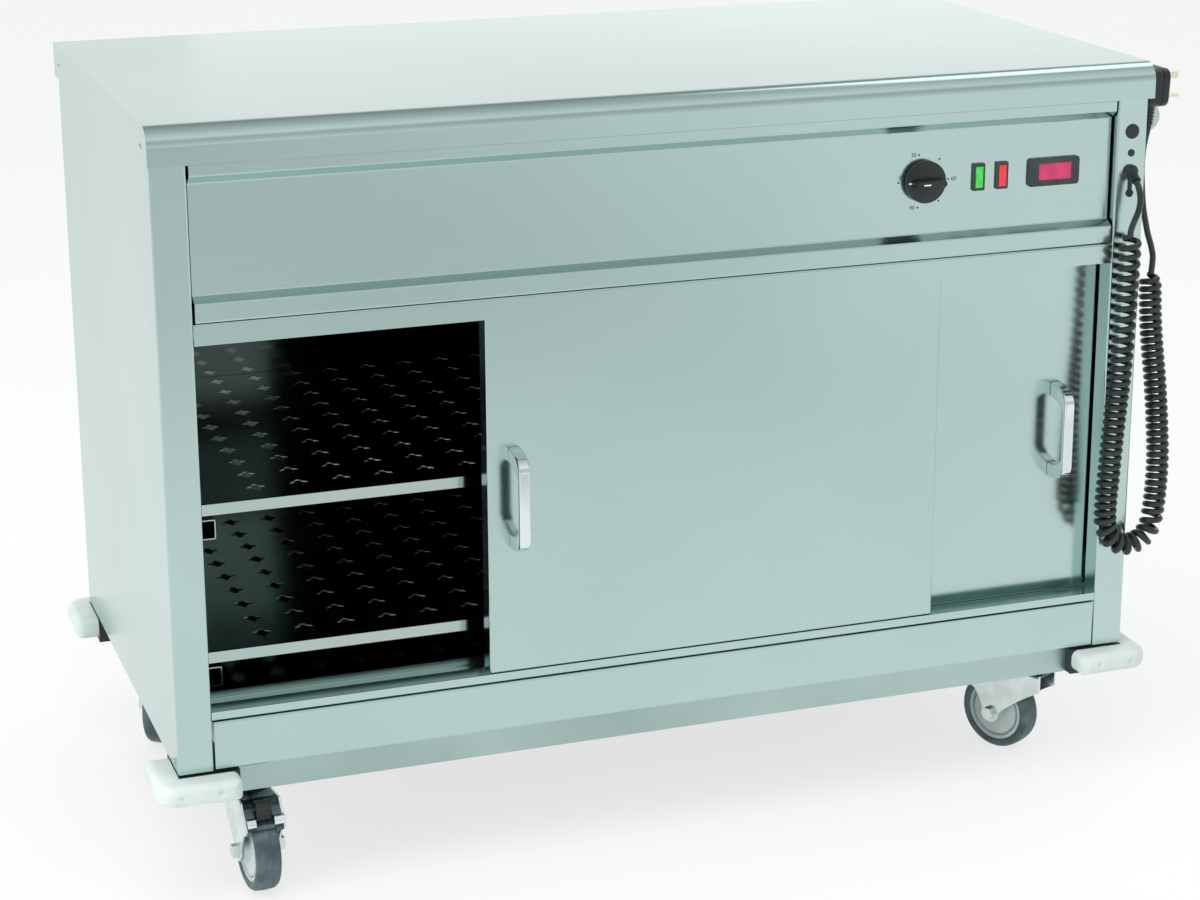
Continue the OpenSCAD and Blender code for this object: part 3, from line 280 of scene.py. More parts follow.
def new_piece(name, vertices, faces, body, material, slot, stands_for=(), bevel_mm=0.0, sharp_deg=35):
    """A named mesh in its place, its faces turned outwards and its edges rounded, riding on a body."""
    mesh = bpy.data.meshes.new(name)
    mesh.from_pydata(np.asarray(vertices, float).reshape(-1, 3).tolist(), [], faces)
    shell = bmesh.new()
    shell.from_mesh(mesh)
    bmesh.ops.remove_doubles(shell, verts=shell.verts, dist=WELD)
    bmesh.ops.recalc_face_normals(shell, faces=shell.faces)
    shell.to_mesh(mesh)
    shell.free()
    mesh.materials.append(MATERIALS[material])
    mesh.shade_smooth()
    mesh.set_sharp_from_angle(angle=np.radians(sharp_deg))
    piece = in_scene(name, mesh)
    if bevel_mm:
        bevel = piece.modifiers.new("rounded_edges", "BEVEL")
        bevel.width = bevel_mm * MM
        bevel.segments = 3
        bevel.limit_method = "ANGLE"
        bevel.angle_limit = np.radians(BEVEL_FROM_DEG)
        bevel.harden_normals = True
    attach(piece, body)
    if stands_for:
        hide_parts(*stands_for)
    return piece


def give_finish(piece, material, chosen):
    """Gives a second finish to the faces that chosen picks from all the faces' normals."""
    mesh = piece.data
    normals = np.zeros(len(mesh.polygons) * 3)
    mesh.polygons.foreach_get("normal", normals)
    mesh.materials.append(MATERIALS[material])
    mesh.polygons.foreach_set("material_index", chosen(normals.reshape(-1, 3)).astype(np.int32))


def grid_faces(rows, columns, closed_rows=False, caps=True):
    """Quads between the neighbouring points of a grid whose rows are closed loops. With closed_rows
    the last row joins the first, and otherwise caps fill the first and the last row."""
    r = np.arange(rows if closed_rows else rows - 1)[:, None]
    c = np.arange(columns)[None, :]
    r2 = (r + 1) % rows
    c2 = (c + 1) % columns
    quads = np.stack([r * columns + c, r * columns + c2, r2 * columns + c2, r2 * columns + c], axis=-1)
    faces = quads.reshape(-1, 4).tolist()
    if caps and not closed_rows:
        faces.append(list(range(columns)))
        faces.append(list(range((rows - 1) * columns, rows * columns)))
    return faces


def joined(parts):
    """Several (vertices, faces) pairs as one."""
    vertices, faces, start = [], [], 0
    for points, quads in parts:
        points = np.asarray(points, float).reshape(-1, 3)
        vertices.append(points)
        faces += [[i + start for i in quad] for quad in quads]
        start += len(points)
    return np.concatenate(vertices), faces


def revolved(profile, segments=96):
    """A profile of (radius, height) points turned about the Z axis: (r cos a, r sin a, h)."""
    profile = np.asarray(profile, float)
    angle = np.linspace(0, 2 * np.pi, segments, endpoint=False)
    ring = np.stack([np.cos(angle), np.sin(angle)], axis=-1)
    radial = profile[:, None, 0, None] * ring[None]
    height = np.broadcast_to(profile[:, None, 1, None], (len(profile), segments, 1))
    points = np.concatenate([radial, height], axis=-1)
    return points, grid_faces(len(profile), segments)


def turned_ring(profile, segments=96):
    """A closed profile of (radius, height) points turned about the Z axis into a ring."""
    points, _ = revolved(profile, segments)
    return points, grid_faces(len(profile), segments, closed_rows=True)


def prism(outline, low, high):
    """A flat outline of (u, v) points carried along w from low to high: (u, v, w)."""
    outline = np.asarray(outline, float)
    ends = np.broadcast_to(np.array([low, high])[:, None, None], (2, len(outline), 1))
    points = np.concatenate([np.broadcast_to(outline, (2, *outline.shape)), ends], axis=-1)
    return points, grid_faces(2, len(outline))


def placed(shape, origin, u, v, w):
    """A shape in millimetres moved from its own axes to the point origin, with its axes along u, v
    and w."""
    points, faces = shape
    points = MM * np.asarray(points, float).reshape(-1, 3)
    return points @ np.array([u, v, w], float) + np.asarray(origin, float), faces


def arc(centre, radius, first_deg, last_deg, steps=8):
    """Points along an arc: centre + radius (cos a, sin a)."""
    angle = np.radians(np.linspace(first_deg, last_deg, steps + 1))
    return np.asarray(centre, float) + radius * np.stack([np.cos(angle), np.sin(angle)], axis=-1)


def rounded_box(width, height, radius, steps=8):
    """A rectangle's outline with a quarter circle at each corner."""
    u, v = width / 2 - radius, height / 2 - radius
    return np.concatenate([
        arc((u, v), radius, 0, 90, steps),
        arc((-u, v), radius, 90, 180, steps),
        arc((-u, -v), radius, 180, 270, steps),
        arc((u, -v), radius, 270, 360, steps),
    ])


def curve_between(a, bend, b, steps=10):
    """A quadratic curve from a to b, drawn towards bend."""
    t = np.linspace(0, 1, steps + 1)[:, None]
    return (1 - t) ** 2 * np.array(a) + 2 * t * (1 - t) * np.array(bend) + t**2 * np.array(b)


# ---- shelves ---------------------------------------------------------------

SHEET_MM = 1.0
HOLE_PITCH_MM = 50
HOLE_POINTS = 32
HOLE_ANGLES = 2 * np.pi * np.arange(HOLE_POINTS) / HOLE_POINTS
WAIST_R_MM = 6.2
LOBE_MM = 4.5
HOLE_STRETCH = 1.13
# how deep a hole's edge is broken, and how much wider the hole is at its top
BROKEN_EDGE_MM = 0.3
HOLE_FLARE = 1.05
# least plain margin at the sides and at the front and back, and how far the field of holes sits back
SHELF_MARGIN_MM = (86, 30)
FIELD_BACK_MM = 9
# how far the plain margins reach under the field of holes
LAP_MM = 0.25
SHELF_LIP_MM = 14
SHELF_FLANGE_MM = 19.2


def lobed_cross():
    """A hole with four round lobes: its radius swings four times between waist and tip, stretched a
    little along Y."""
    radius = WAIST_R_MM + LOBE_MM * (0.5 + 0.5 * np.cos(4 * HOLE_ANGLES))
    return np.stack([radius * np.cos(HOLE_ANGLES), HOLE_STRETCH * radius * np.sin(HOLE_ANGLES)], axis=-1)


def square_ring(half):
    """As many points round a square, at the same angles as the hole's."""
    ring = np.stack([np.cos(HOLE_ANGLES), np.sin(HOLE_ANGLES)], axis=-1)
    return half * ring / np.abs(ring).max(axis=1, keepdims=True)


def make_shelf(name, node):
    """A sheet of square cells, each with a hole whose edge is broken a little: rings of points run
    from the cell's border over the broken edge, down the hole's wall and back under the sheet. Plain
    margins, a front lip and side flanges close it off."""
    low, high = (np.array(corner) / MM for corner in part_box(node))
    top = high[2]
    centre = np.array([(low[0] + high[0]) / 2, (low[1] + high[1]) / 2 + FIELD_BACK_MM])
    counts = [int((high[i] - low[i] - 2 * SHELF_MARGIN_MM[i]) // HOLE_PITCH_MM) + 1 for i in (0, 1)]
    half_field = [count * HOLE_PITCH_MM / 2 for count in counts]
    hole, border = lobed_cross(), square_ring(HOLE_PITCH_MM / 2)
    rings = [
        (border, 0), (hole * HOLE_FLARE, 0), (hole, -BROKEN_EDGE_MM), (hole, -SHEET_MM), (border, -SHEET_MM),
    ]
    cell = np.array([np.concatenate([ring, np.full((HOLE_POINTS, 1), z)], axis=1) for ring, z in rings])
    cell_faces = grid_faces(len(rings), HOLE_POINTS, caps=False)
    parts = []
    for i in range(counts[0]):
        for j in range(counts[1]):
            place = centre + HOLE_PITCH_MM * (np.array([i, j]) + 0.5) - half_field
            parts.append((cell + [*place, top], cell_faces))
    x0, x1, y0, y1 = low[0], high[0], low[1], high[1]
    left, right = centre[0] - half_field[0] + LAP_MM, centre[0] + half_field[0] - LAP_MM
    near, far = centre[1] - half_field[1] + LAP_MM, centre[1] + half_field[1] - LAP_MM
    # each plate's reach along X and Y, and its depth below the top
    plates = [
        (x0, x1, y0, near, SHEET_MM), (x0, x1, far, y1, SHEET_MM),
        (x0, left, near, far, SHEET_MM), (right, x1, near, far, SHEET_MM),
        (x0, x1, y0, y0 + SHEET_MM, SHELF_LIP_MM),
        (x0, x0 + SHEET_MM, y0, y1, SHELF_FLANGE_MM), (x1 - SHEET_MM, x1, y0, y1, SHELF_FLANGE_MM),
    ]
    for u0, u1, v0, v1, depth in plates:
        parts.append(prism([[u0, v0], [u1, v0], [u1, v1], [u0, v1]], top - depth, top))
    points, faces = joined(parts)
    shelf = new_piece(
        name, points * MM, faces, CABINET, "shelf_stainless", SLOT_OF[node], (node,), sharp_deg=12
    )
    # the small upright faces are the holes' walls
    largest_wall_face = 6 * MM * SHEET_MM * MM
    areas = np.zeros(len(shelf.data.polygons))
    shelf.data.polygons.foreach_get("area", areas)
    # the holes' walls get the paler finish, a painted highlight
    give_finish(
        shelf, "cut_edge_highlight", lambda normal: (np.abs(normal[:, 2]) < 0.8) & (areas < largest_wall_face)
    )


# ---- cord ------------------------------------------------------------------

CORD_D_MM = 7.5
COIL_D_MM = 28.5
CURL_R_MM = (COIL_D_MM - CORD_D_MM) / 2
# Middle of the gland's hole in the right post; the cord's points are measured from it
GLAND_MM = np.array([577.5, -300, 769])
GLAND_TILT = np.radians(35)
GLAND_PROUD_MM = 3
SPOUT_MM = 12
GLAND_EXIT_MM = [0, -GLAND_PROUD_MM - SPOUT_MM * np.cos(GLAND_TILT), -SPOUT_MM * np.sin(GLAND_TILT)]
GLAND_ROUTE_MM = [[0.5, -21, -16], [1, -25, -29], [-0.5, -25, -42], [-3.5, -23, -53], [-5.5, -20, -63]]
# Middle line of the curls, and the turns from each point to the next
CURLS_ROUTE_MM = np.array([
    [-6.5, -18.5, -71, 2], [-6, -18, -96, 5], [-7.5, -18, -159, 6], [-10, -18, -234, 7],
    [-15, -18, -302, 7], [-19, -18, -370, 6.5], [-21, -18, -433, 1.6], [-13.5, -18, -453, 1.6],
    [2.5, -18, -465, 1.7], [23.5, -17, -465, 1.7], [40.5, -16, -452, 1.6], [47.5, -14, -432, 5],
    [52.5, -11, -386, 4.2], [53.5, -8, -348, 8.2], [49.5, -2, -274, 8.2], [42.5, 4, -200, 6.5],
    [40.5, 8.5, -141, 1.2], [41.5, 9, -129, 0],
])
PLUG_ROUTE_MM = [
    [42.5, 9.5, -121], [43, 10, -109], [39.5, 10, -95], [34.5, 10, -81], [30.5, 10, -66], [27.5, 11, -51],
    [25.5, 12, -35], [25, 14, -19], [25.5, 17, -3], [28, 21, 13], [32, 25, 28],
]
POINTS_PER_CURL = 16
CORD_SIDES = 12
FIRST_CURL_DEG = 30


def smooth_line(points, steps=5):
    """A curve through its points: between two of them a cubic, whose slope at each is half the step
    from the point before it to the point after it."""
    p = np.asarray(points, float)
    before = np.concatenate([[2 * p[0] - p[1]], p[:-1]])
    after = np.concatenate([p[1:], [2 * p[-1] - p[-2]]])
    slope = (after - before) / 2
    t = (np.arange(steps) / steps)[None, :, None]
    a, b, sa, sb = p[:-1, None], p[1:, None], slope[:-1, None], slope[1:, None]
    between = (
        (1 + 2 * t) * (1 - t) ** 2 * a + t * (1 - t) ** 2 * sa + t**2 * (3 - 2 * t) * b - t**2 * (1 - t) * sb
    )
    return np.concatenate([between.reshape(-1, 3), p[-1:]])


def curls_middle(turns):
    """The curls' middle line after some turns: a cubic through its points, with slopes per turn."""
    points = CURLS_ROUTE_MM[:, :3]
    wound = np.concatenate([[0], np.cumsum(CURLS_ROUTE_MM[:-1, 3])])
    order = np.arange(len(points))
    before, after = np.maximum(order - 1, 0), np.minimum(order + 1, len(points) - 1)
    slope = (points[after] - points[before]) / (wound[after] - wound[before])[:, None]
    i = np.clip(np.searchsorted(wound, turns, side="right") - 1, 0, len(points) - 2)
    h = (wound[i + 1] - wound[i])[:, None]
    t = ((turns - wound[i]) / h[:, 0])[:, None]
    return (
        (1 + 2 * t) * (1 - t) ** 2 * points[i]
        + t * (1 - t) ** 2 * h * slope[i]
        + t**2 * (3 - 2 * t) * points[i + 1]
        - t**2 * (1 - t) * h * slope[i + 1]
    )


def curls_line():
    """The cord circling the middle line at the curls' radius, which swells and shrinks over one turn
    at either end, and the direction from the middle line to each of its points."""
    total = CURLS_ROUTE_MM[:, 3].sum()
    turns = np.arange(int(total * POINTS_PER_CURL) + 1) / POINTS_PER_CURL
    middle = curls_middle(turns)
    along = unit(curls_middle(turns + 0.05) - curls_middle(turns - 0.05))
    inward = unit(np.cross(along, [0, 1, 0]))
    across = np.cross(inward, along)
    rise, fall = (np.clip(x, 0, 1) for x in (turns, total - turns))
    radius = CURL_R_MM * rise**2 * (3 - 2 * rise) * fall**2 * (3 - 2 * fall)
    phase = np.radians(FIRST_CURL_DEG + 360 * turns)[:, None]
    outward = np.cos(phase) * inward - np.sin(phase) * across
    return middle + radius[:, None] * outward, outward


def relief_foot():
    """The middle of the strain relief's lower end, where the cord goes in."""
    low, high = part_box("plug_strain_relief")
    return np.array([(low.x + high.x) / 2, (low.y + high.y) / 2, low.z])


def make_cord():
    """One round tube along the whole cord: each ring is centre + r (cos a u + sin a v), where u and v
    are square to the cord and u leans outwards from the curls' middle line."""
    curls, outward = curls_line()
    gland_lead = smooth_line([GLAND_EXIT_MM, *GLAND_ROUTE_MM])
    plug_lead = smooth_line([*PLUG_ROUTE_MM, relief_foot() / MM - GLAND_MM])
    line = (np.concatenate([gland_lead, curls, plug_lead]) + GLAND_MM) * MM
    lean = np.concatenate([
        np.broadcast_to(outward[0], gland_lead.shape), outward, np.broadcast_to(outward[-1], plug_lead.shape),
    ])
    ahead = unit(np.gradient(line, axis=0))
    u = unit(lean - (lean * ahead).sum(1, keepdims=True) * ahead)
    v = np.cross(ahead, u)
    angle = np.linspace(0, 2 * np.pi, CORD_SIDES, endpoint=False)[None, :, None]
    radius = CORD_D_MM / 2 * MM
    rings = line[:, None] + radius * (np.cos(angle) * u[:, None] + np.sin(angle) * v[:, None])
    cord = new_piece(
        "mains_cord", rings, grid_faces(len(line), CORD_SIDES), CABINET, "cord_rubber", "cord_rubber",
        stands_for=("gland_lead", "curly_cord", "plug_lead"), sharp_deg=60,
    )
    return cord, line


# ---- plug ------------------------------------------------------------------

RELIEF_RIBS = 6
RIB_GROOVE_MM = 1.2
# walls round the cord at the strain relief's foot and top
RELIEF_WALLS_MM = (1, 3)
# as shares of the plug's width: its corners' radius, and how much narrower it is at its foot
PLUG_CORNER = 0.22
PLUG_TAPER = 0.14


def make_strain_relief():
    """A ribbed sleeve: a radius that grows towards the plug, with a square groove between its ribs."""
    low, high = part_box("plug_strain_relief")
    pitch = (high.z - low.z) / MM / RELIEF_RIBS
    foot_r, top_r = (CORD_D_MM / 2 + wall for wall in RELIEF_WALLS_MM)
    profile = [(NEAR_AXIS_MM, 0)]
    for i in range(RELIEF_RIBS):
        r = foot_r + (top_r - foot_r) * i / (RELIEF_RIBS - 1)
        z = i * pitch
        profile += [(r - RIB_GROOVE_MM, z), (r - RIB_GROOVE_MM, z + 0.4 * pitch)]
        profile += [(r + 0.3, z + 0.42 * pitch), (r + 0.5, z + 0.6 * pitch), (r + 0.3, z + pitch)]
    profile.append((NEAR_AXIS_MM, RELIEF_RIBS * pitch))
    shape = placed(revolved(profile, 48), relief_foot(), (1, 0, 0), (0, 1, 0), (0, 0, 1))
    return new_piece(
        "strain_relief", *shape, CABINET, "cord_rubber", "cord_rubber", ("plug_strain_relief",), sharp_deg=50
    )


def make_plug():
    """The plug's body: rounded outlines stacked along X, narrower at its foot and drawn in at its back."""
    low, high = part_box("mains_plug")
    thick, width, height = (high.x - low.x, high.y - low.y, high.z - low.z)
    outline = rounded_box(1, 1, PLUG_CORNER, 10)
    outline[:, 0] *= 1 - PLUG_TAPER * (0.5 - outline[:, 1])
    # share of the thickness, and how far the outline is drawn in there
    layers = [(0.0, 0.90), (0.04, 0.95), (0.12, 0.985), (0.3, 1.0), (0.62, 1.0), (0.63, 0.975),
              (0.66, 0.975), (0.67, 1.0), (0.93, 1.0), (0.98, 0.985), (1.0, 0.95)]
    rows = np.array([
        np.concatenate([np.full((len(outline), 1), share * thick), outline * draw * [width, height]], axis=1)
        for share, draw in layers
    ])
    rows += [low.x, (low.y + high.y) / 2, (low.z + high.z) / 2]
    return new_piece(
        "plug_body", rows, grid_faces(len(layers), len(outline)), CABINET, "black_plastic",
        "black_plastic", ("mains_plug",), sharp_deg=40,
    )


# ---- controls --------------------------------------------------------------

DIAL_R_MM = 32
MARK_R_MM = 1.2
DIAL_MARKS_DEG = (180, 102, 51, 0, -51, -102)
DIAL_NUMBERS = {102: "30", 0: "60", -102: "90"}
INK_MM = 0.15
# the font's size, at which its figures are 5 mm tall
FONT_MM = 7
NUMBER_ASIDE_MM = 7
KNOB_R_MM = 25
SKIRT_MM = 10
# the grip's length, width and corner radius
GRIP_MM = (40, 10, 4.5)


def front_axes():
    """Axes of a piece on the front: u to the right, v up and w out of the front."""
    return (1, 0, 0), (0, 0, 1), (0, -1, 0)


def make_knob():
    """A turned skirt with a bevelled rim, a grip across it that tapers outwards, and white pointers."""
    low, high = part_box("control_knob")
    centre = ((low.x + high.x) / 2, high.y, (low.z + high.z) / 2)
    thick = (high.y - low.y) / MM
    r = KNOB_R_MM
    skirt = revolved([
        (NEAR_AXIS_MM, 0), (r - 0.6, 0), (r, 0.8), (r, SKIRT_MM - 2.2), (r - 0.5, SKIRT_MM - 0.8),
        (r - 1.8, SKIRT_MM), (NEAR_AXIS_MM, SKIRT_MM),
    ])
    grip_outline = rounded_box(*GRIP_MM)
    # height over the face, and the grip's share of its full width there; its length shrinks a quarter
    # as much
    levels = [(SKIRT_MM - 1, 1.0), (thick - 3, 0.93), (thick - 1, 0.88), (thick, 0.78)]
    grip_points = np.array([
        np.concatenate([grip_outline * [1 - (1 - s) * 0.25, s], np.full((len(grip_outline), 1), z)], axis=1)
        for z, s in levels
    ])
    grip = (grip_points, grid_faces(len(levels), len(grip_outline)))
    shape = placed(joined([skirt, grip]), centre, *front_axes())
    new_piece("knob_body", *shape, "knob", "black_plastic", "black_plastic", ("control_knob",), sharp_deg=40)
    marks = [
        prism(rounded_box(7.5, 1.8, 0.5) + [-20.2, 0], SKIRT_MM, SKIRT_MM + INK_MM),
        prism(rounded_box(9, 1.6, 0.5) + [-6.5, 0], thick, thick + INK_MM),
    ]
    shape = placed(joined(marks), centre, *front_axes())
    new_piece("knob_pointers", *shape, "knob", "white_ink", "white_nylon")
    return centre


def number_mesh(text):
    """Flat figures about their own middle, as (vertices, faces) in millimetres."""
    curve = bpy.data.curves.new("figures", "FONT")
    curve.body = text
    curve.size = FONT_MM * MM
    curve.align_x = "CENTER"
    curve.align_y = "CENTER"
    curve.extrude = INK_MM * MM / 2
    source = bpy.data.objects.new("figures", curve)
    mesh = bpy.data.meshes.new_from_object(source)
    vertices = np.array([v.co for v in mesh.vertices]) / MM
    faces = [list(p.vertices) for p in mesh.polygons]
    bpy.data.objects.remove(source)
    bpy.data.curves.remove(curve)
    bpy.data.meshes.remove(mesh)
    return vertices, faces


def make_dial(knob_centre):
    """Round marks on a circle about the knob, and three plain numbers outside it."""
    face_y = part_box("thermometer_module")[0].y
    parts = []
    for degrees in DIAL_MARKS_DEG:
        spot = DIAL_R_MM * np.array([np.cos(np.radians(degrees)), np.sin(np.radians(degrees))])
        parts.append(prism(arc(spot, MARK_R_MM, 0, 345, 23), 0, INK_MM))
        if degrees in DIAL_NUMBERS:
            points, faces = number_mesh(DIAL_NUMBERS[degrees])
            aside = NUMBER_ASIDE_MM if degrees == 0 else -NUMBER_ASIDE_MM
            parts.append((points + [spot[0] + aside, spot[1], INK_MM / 2], faces))
    shape = placed(joined(parts), (knob_centre[0], face_y, knob_centre[2]), *front_axes())
    new_piece("dial_marks", *shape, CABINET, "black_ink", "black_plastic")


# ---- handles ---------------------------------------------------------------

# thickness of the bar, length of its straight grip and height of a foot
HANDLE_MM = (7.5, 78, 19)


def make_handle(name, node, body):
    """A cast D-shaped handle: its outline seen from the side, whose legs are quadratic curves that
    spread into the feet, carried across its width and rounded."""
    low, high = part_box(node)
    width, out, tall = (np.array(high) - low) / MM
    thick, grip, foot = HANDLE_MM
    outer_leg = curve_between(
        (0, tall / 2), (0.1 * thick - out, tall / 2 - 0.25 * thick), (-out, grip / 2), 8
    )
    inner_leg = curve_between(
        (0, tall / 2 - foot), (-0.55 * out, tall / 2 - foot), (thick - out, grip / 2 - 1.1 * thick), 8
    )
    half = np.concatenate([inner_leg[::-1], outer_leg])
    outline = np.concatenate([half, half[::-1] * [1, -1]])
    centre = (low.x, high.y, (low.z + high.z) / 2)
    shape = placed(prism(outline, 0, width), centre, (0, 1, 0), (0, 0, 1), (1, 0, 0))
    handle = new_piece(name, *shape, body, "chrome", "chrome", (node,), bevel_mm=2.4)
    # the faces turned towards the door get the chrome painted dark as shade
    give_finish(handle, "painted_shade_chrome", lambda normal: normal[:, 1] > 0.5)


# ---- castors ---------------------------------------------------------------

WHEEL_R_MM = 50
WHEEL_W_MM = 30
TRAIL_MM = 40
# how far the tread falls to its sides, and the place, half width and depth of its two lines
CROWN_MM = 1.6
TREAD_LINE_MM = (4.5, 0.9, 0.7)
SHOULDER_R_MM = 4.5
HUB_R_MM = 39
# the wheel centre's face from its bore to its rim: radius, and distance from the wheel's middle
HUB_FACE_MM = np.array([
    [5.15, 20], [11, 20], [12, 19.4], [13, 13], [14, 12], [30, 12.6], [31.2, 12.2], [31.8, 11], [32.2, 7],
    [34, 7], [34.4, 12], [35.2, 13.2], [37.4, 13.4], [38.9, 12.6], [38.9, 8],
])


def castor_axes(corner):
    """The castor's swivel point on the floor, its trailing direction and the direction of its axle."""
    side = unit(np.array(JOINTS[f"{corner}_wheel_roll"]["axis"]))
    trail = np.array([side[1], -side[0], 0])
    x, y, _ = JOINTS[f"{corner}_swivel"]["pos_m"]
    return np.array([x, y, 0]), trail, side


def both_sides(half):
    """A profile of (radius, distance from the middle) points, followed by its mirror image."""
    return np.concatenate([half, half[::-1] * [1, -1]])


def make_wheel(corner):
    """Rings turned about the axle: a crowned tyre with two fine tread lines, and a dished centre with a
    raised rim, a dark groove and a boss."""
    origin, trail, side = castor_axes(corner)
    axle = (origin + (TRAIL_MM * trail + [0, 0, WHEEL_R_MM]) * MM, trail, np.cross(side, trail), side)
    half_w = WHEEL_W_MM / 2
    tread = np.linspace(0, half_w - 4, 16)
    line_place, line_half_w, line_depth = TREAD_LINE_MM
    in_line = np.abs(tread - line_place) < line_half_w
    crown = WHEEL_R_MM - CROWN_MM * (tread / half_w) ** 2 - line_depth * in_line
    shoulder = arc((WHEEL_R_MM - SHOULDER_R_MM - 1.5, half_w - SHOULDER_R_MM), SHOULDER_R_MM, 0, 78)
    half_tyre = np.concatenate([
        np.stack([crown, tread], axis=-1), shoulder[1:],
        [[HUB_R_MM + 1, half_w - 0.4], [HUB_R_MM, half_w - 1.5]],
    ])
    tyre = placed(turned_ring(both_sides(half_tyre)), *axle)
    new_piece(
        f"{corner}_tyre_tread", *tyre, f"{corner}_wheel", "tyre", "tyre", (f"{corner}_tyre",), sharp_deg=50
    )
    hub = placed(turned_ring(both_sides(HUB_FACE_MM)), *axle)
    new_piece(
        f"{corner}_wheel_centre", *hub, f"{corner}_wheel", "grey_nylon", "grey_nylon", (f"{corner}_hub",)
    )


# A fork's own axes: behind the swivel, up from the floor and along the axle
FORK_TOP_MM = 116
FORK_STEEL_MM = 3
LEG_MM = 21
CHEEK_END_R_MM = 13
# a cheek's front edge leans in by this much, over this run in front of its crease
LEAN_MM = 5
LEAN_RUN_MM = 38
CREASE_MM = 8
CROWN_BOX_MM = (80, 2 * LEG_MM - 2, 4)
CROWN_STEEL_MM = 3
# the ball race's section: radius and height
RACE_MM = [
    (6.05, FORK_TOP_MM), (24, FORK_TOP_MM), (24, 119), (22.5, 121.5), (20, 122), (6.05, 122)
]
HOOD_LIP_MM = np.array([78.2, 88.2])
HOOD_STEEL_MM = 2.4
PEDAL_GAP_MM = 10.5
PEDAL_PIN_MM = np.array([60, 106])
PEDAL_PIN_R_MM = 2.5
PEDAL_HALF_W_MM = 9
PEDAL_RIDGES = 3
PEDAL_RIDGE_MM = 0.7


def cheek_outline(braked):
    """Edge of a fork's cheek: straight along the crown, then curves that sweep in to a round end
    under the axle; a braked fork's cheek first reaches out to the lip of its hood."""
    axle = np.array([TRAIL_MM, WHEEL_R_MM])
    if braked:
        back = np.concatenate([
            [[TRAIL_MM + 18, FORK_TOP_MM], HOOD_LIP_MM, HOOD_LIP_MM - [2.5, 5.5]],
            curve_between((66, 78), (57, 68), axle + [12.5, 4]),
        ])
    else:
        back = curve_between((TRAIL_MM + 14, FORK_TOP_MM), (TRAIL_MM + 15, 80), axle + [12.5, 4])
    round_end = arc(axle, CHEEK_END_R_MM, 0, -165, 14)
    front = curve_between(axle + [-CHEEK_END_R_MM, 2], (2, 76), (-30, 94))
    return np.concatenate([[[-30, FORK_TOP_MM]], back, round_end, front])


def cheek(braked, sign):
    """A cheek on one side of the wheel, which leans in by LEAN_MM a^1.5, where a grows from 0 at the
    crease to 1 at the end of the lean's run."""
    points, faces = prism(cheek_outline(braked), LEG_MM, LEG_MM + FORK_STEEL_MM)
    ahead = np.clip((CREASE_MM - points[:, :, 0]) / LEAN_RUN_MM, 0, 1)
    points[:, :, 2] = sign * (points[:, :, 2] - LEAN_MM * ahead**1.5)
    return points, faces


def hood_parts():
    """The hood of a braked fork: a sheet that falls from the crown to its lip over the wheel, with an
    opening in its middle for the pedal. It is made of strips that share one step of the curve."""
    top = np.array([TRAIL_MM + 8, FORK_TOP_MM])
    curve = curve_between(top, (TRAIL_MM + 26, FORK_TOP_MM - 5), HOOD_LIP_MM, 12)
    normal = unit(np.stack([np.gradient(curve[:, 1]), -np.gradient(curve[:, 0])], axis=-1))
    under = curve + HOOD_STEEL_MM * normal
    # first and last step of each strip, and its two ends along the axle
    strips = [
        (0, 5, -LEG_MM, LEG_MM), (4, 12, -LEG_MM, -PEDAL_GAP_MM), (4, 12, PEDAL_GAP_MM, LEG_MM),
        (11, 12, -LEG_MM, LEG_MM),
    ]
    parts = []
    for first, last, v0, v1 in strips:
        section = np.concatenate([curve[first : last + 1], under[first : last + 1][::-1]])
        parts.append(prism(section, v0, v1))
    return parts


def hood_tabs():
    """The two bright tabs that stand in front of the hood's opening, on either side of the pedal."""
    tab = np.array([[66, 91.5], [78.4, 91.5], [78.6, 96], [75.5, 100.5], [66, 100.5]])
    return [prism(tab, v0, v1) for v0, v1 in ((-LEG_MM, -PEDAL_GAP_MM), (PEDAL_GAP_MM, LEG_MM + 3))]


def pedal_pin():
    """The pin between the cheeks that a brake pedal turns on."""
    points, faces = revolved(
        [(0.1, -LEG_MM), (PEDAL_PIN_R_MM, -LEG_MM), (PEDAL_PIN_R_MM, LEG_MM), (0.1, LEG_MM)], 24
    )
    return points + [*PEDAL_PIN_MM, 0], faces


def make_fork(corner):
    """A pressed fork: two cheeks that lean in towards the swivel in front of a soft crease, joined by
    a crown that carries a turned ball race. On a braked fork the crown, the race and the hood over the
    wheel are painted dark as shade, and the cheeks carry the hood's bright tabs and the pedal's pin."""
    origin, trail, side = castor_axes(corner)
    braked = corner.startswith("front")
    pressed = [cheek(braked, sign) for sign in (1, -1)]
    hood = []
    if braked:
        pressed += [*hood_tabs(), pedal_pin()]
        hood = hood_parts()
    crown = prism(rounded_box(*CROWN_BOX_MM) + [10, 0], FORK_TOP_MM - CROWN_STEEL_MM, FORK_TOP_MM)
    fork = [placed(part, origin, trail, (0, 0, 1), side) for part in pressed]
    cover = [placed(part, origin, trail, (0, 0, 1), side) for part in hood]
    cover += [placed(part, origin, trail, side, (0, 0, 1)) for part in (crown, turned_ring(RACE_MM))]
    body = f"{corner}_swivel"
    if braked:
        # a braked fork's hood, crown and race take the zinc painted dark as shade
        new_piece(f"{corner}_brake_hood", *joined(cover), body, "dark_zinc", "zinc", bevel_mm=0.6)
    else:
        fork += cover
    new_piece(
        f"{corner}_pressed_fork", *joined(fork), body, "zinc", "zinc", (f"{corner}_fork",), bevel_mm=0.8
    )


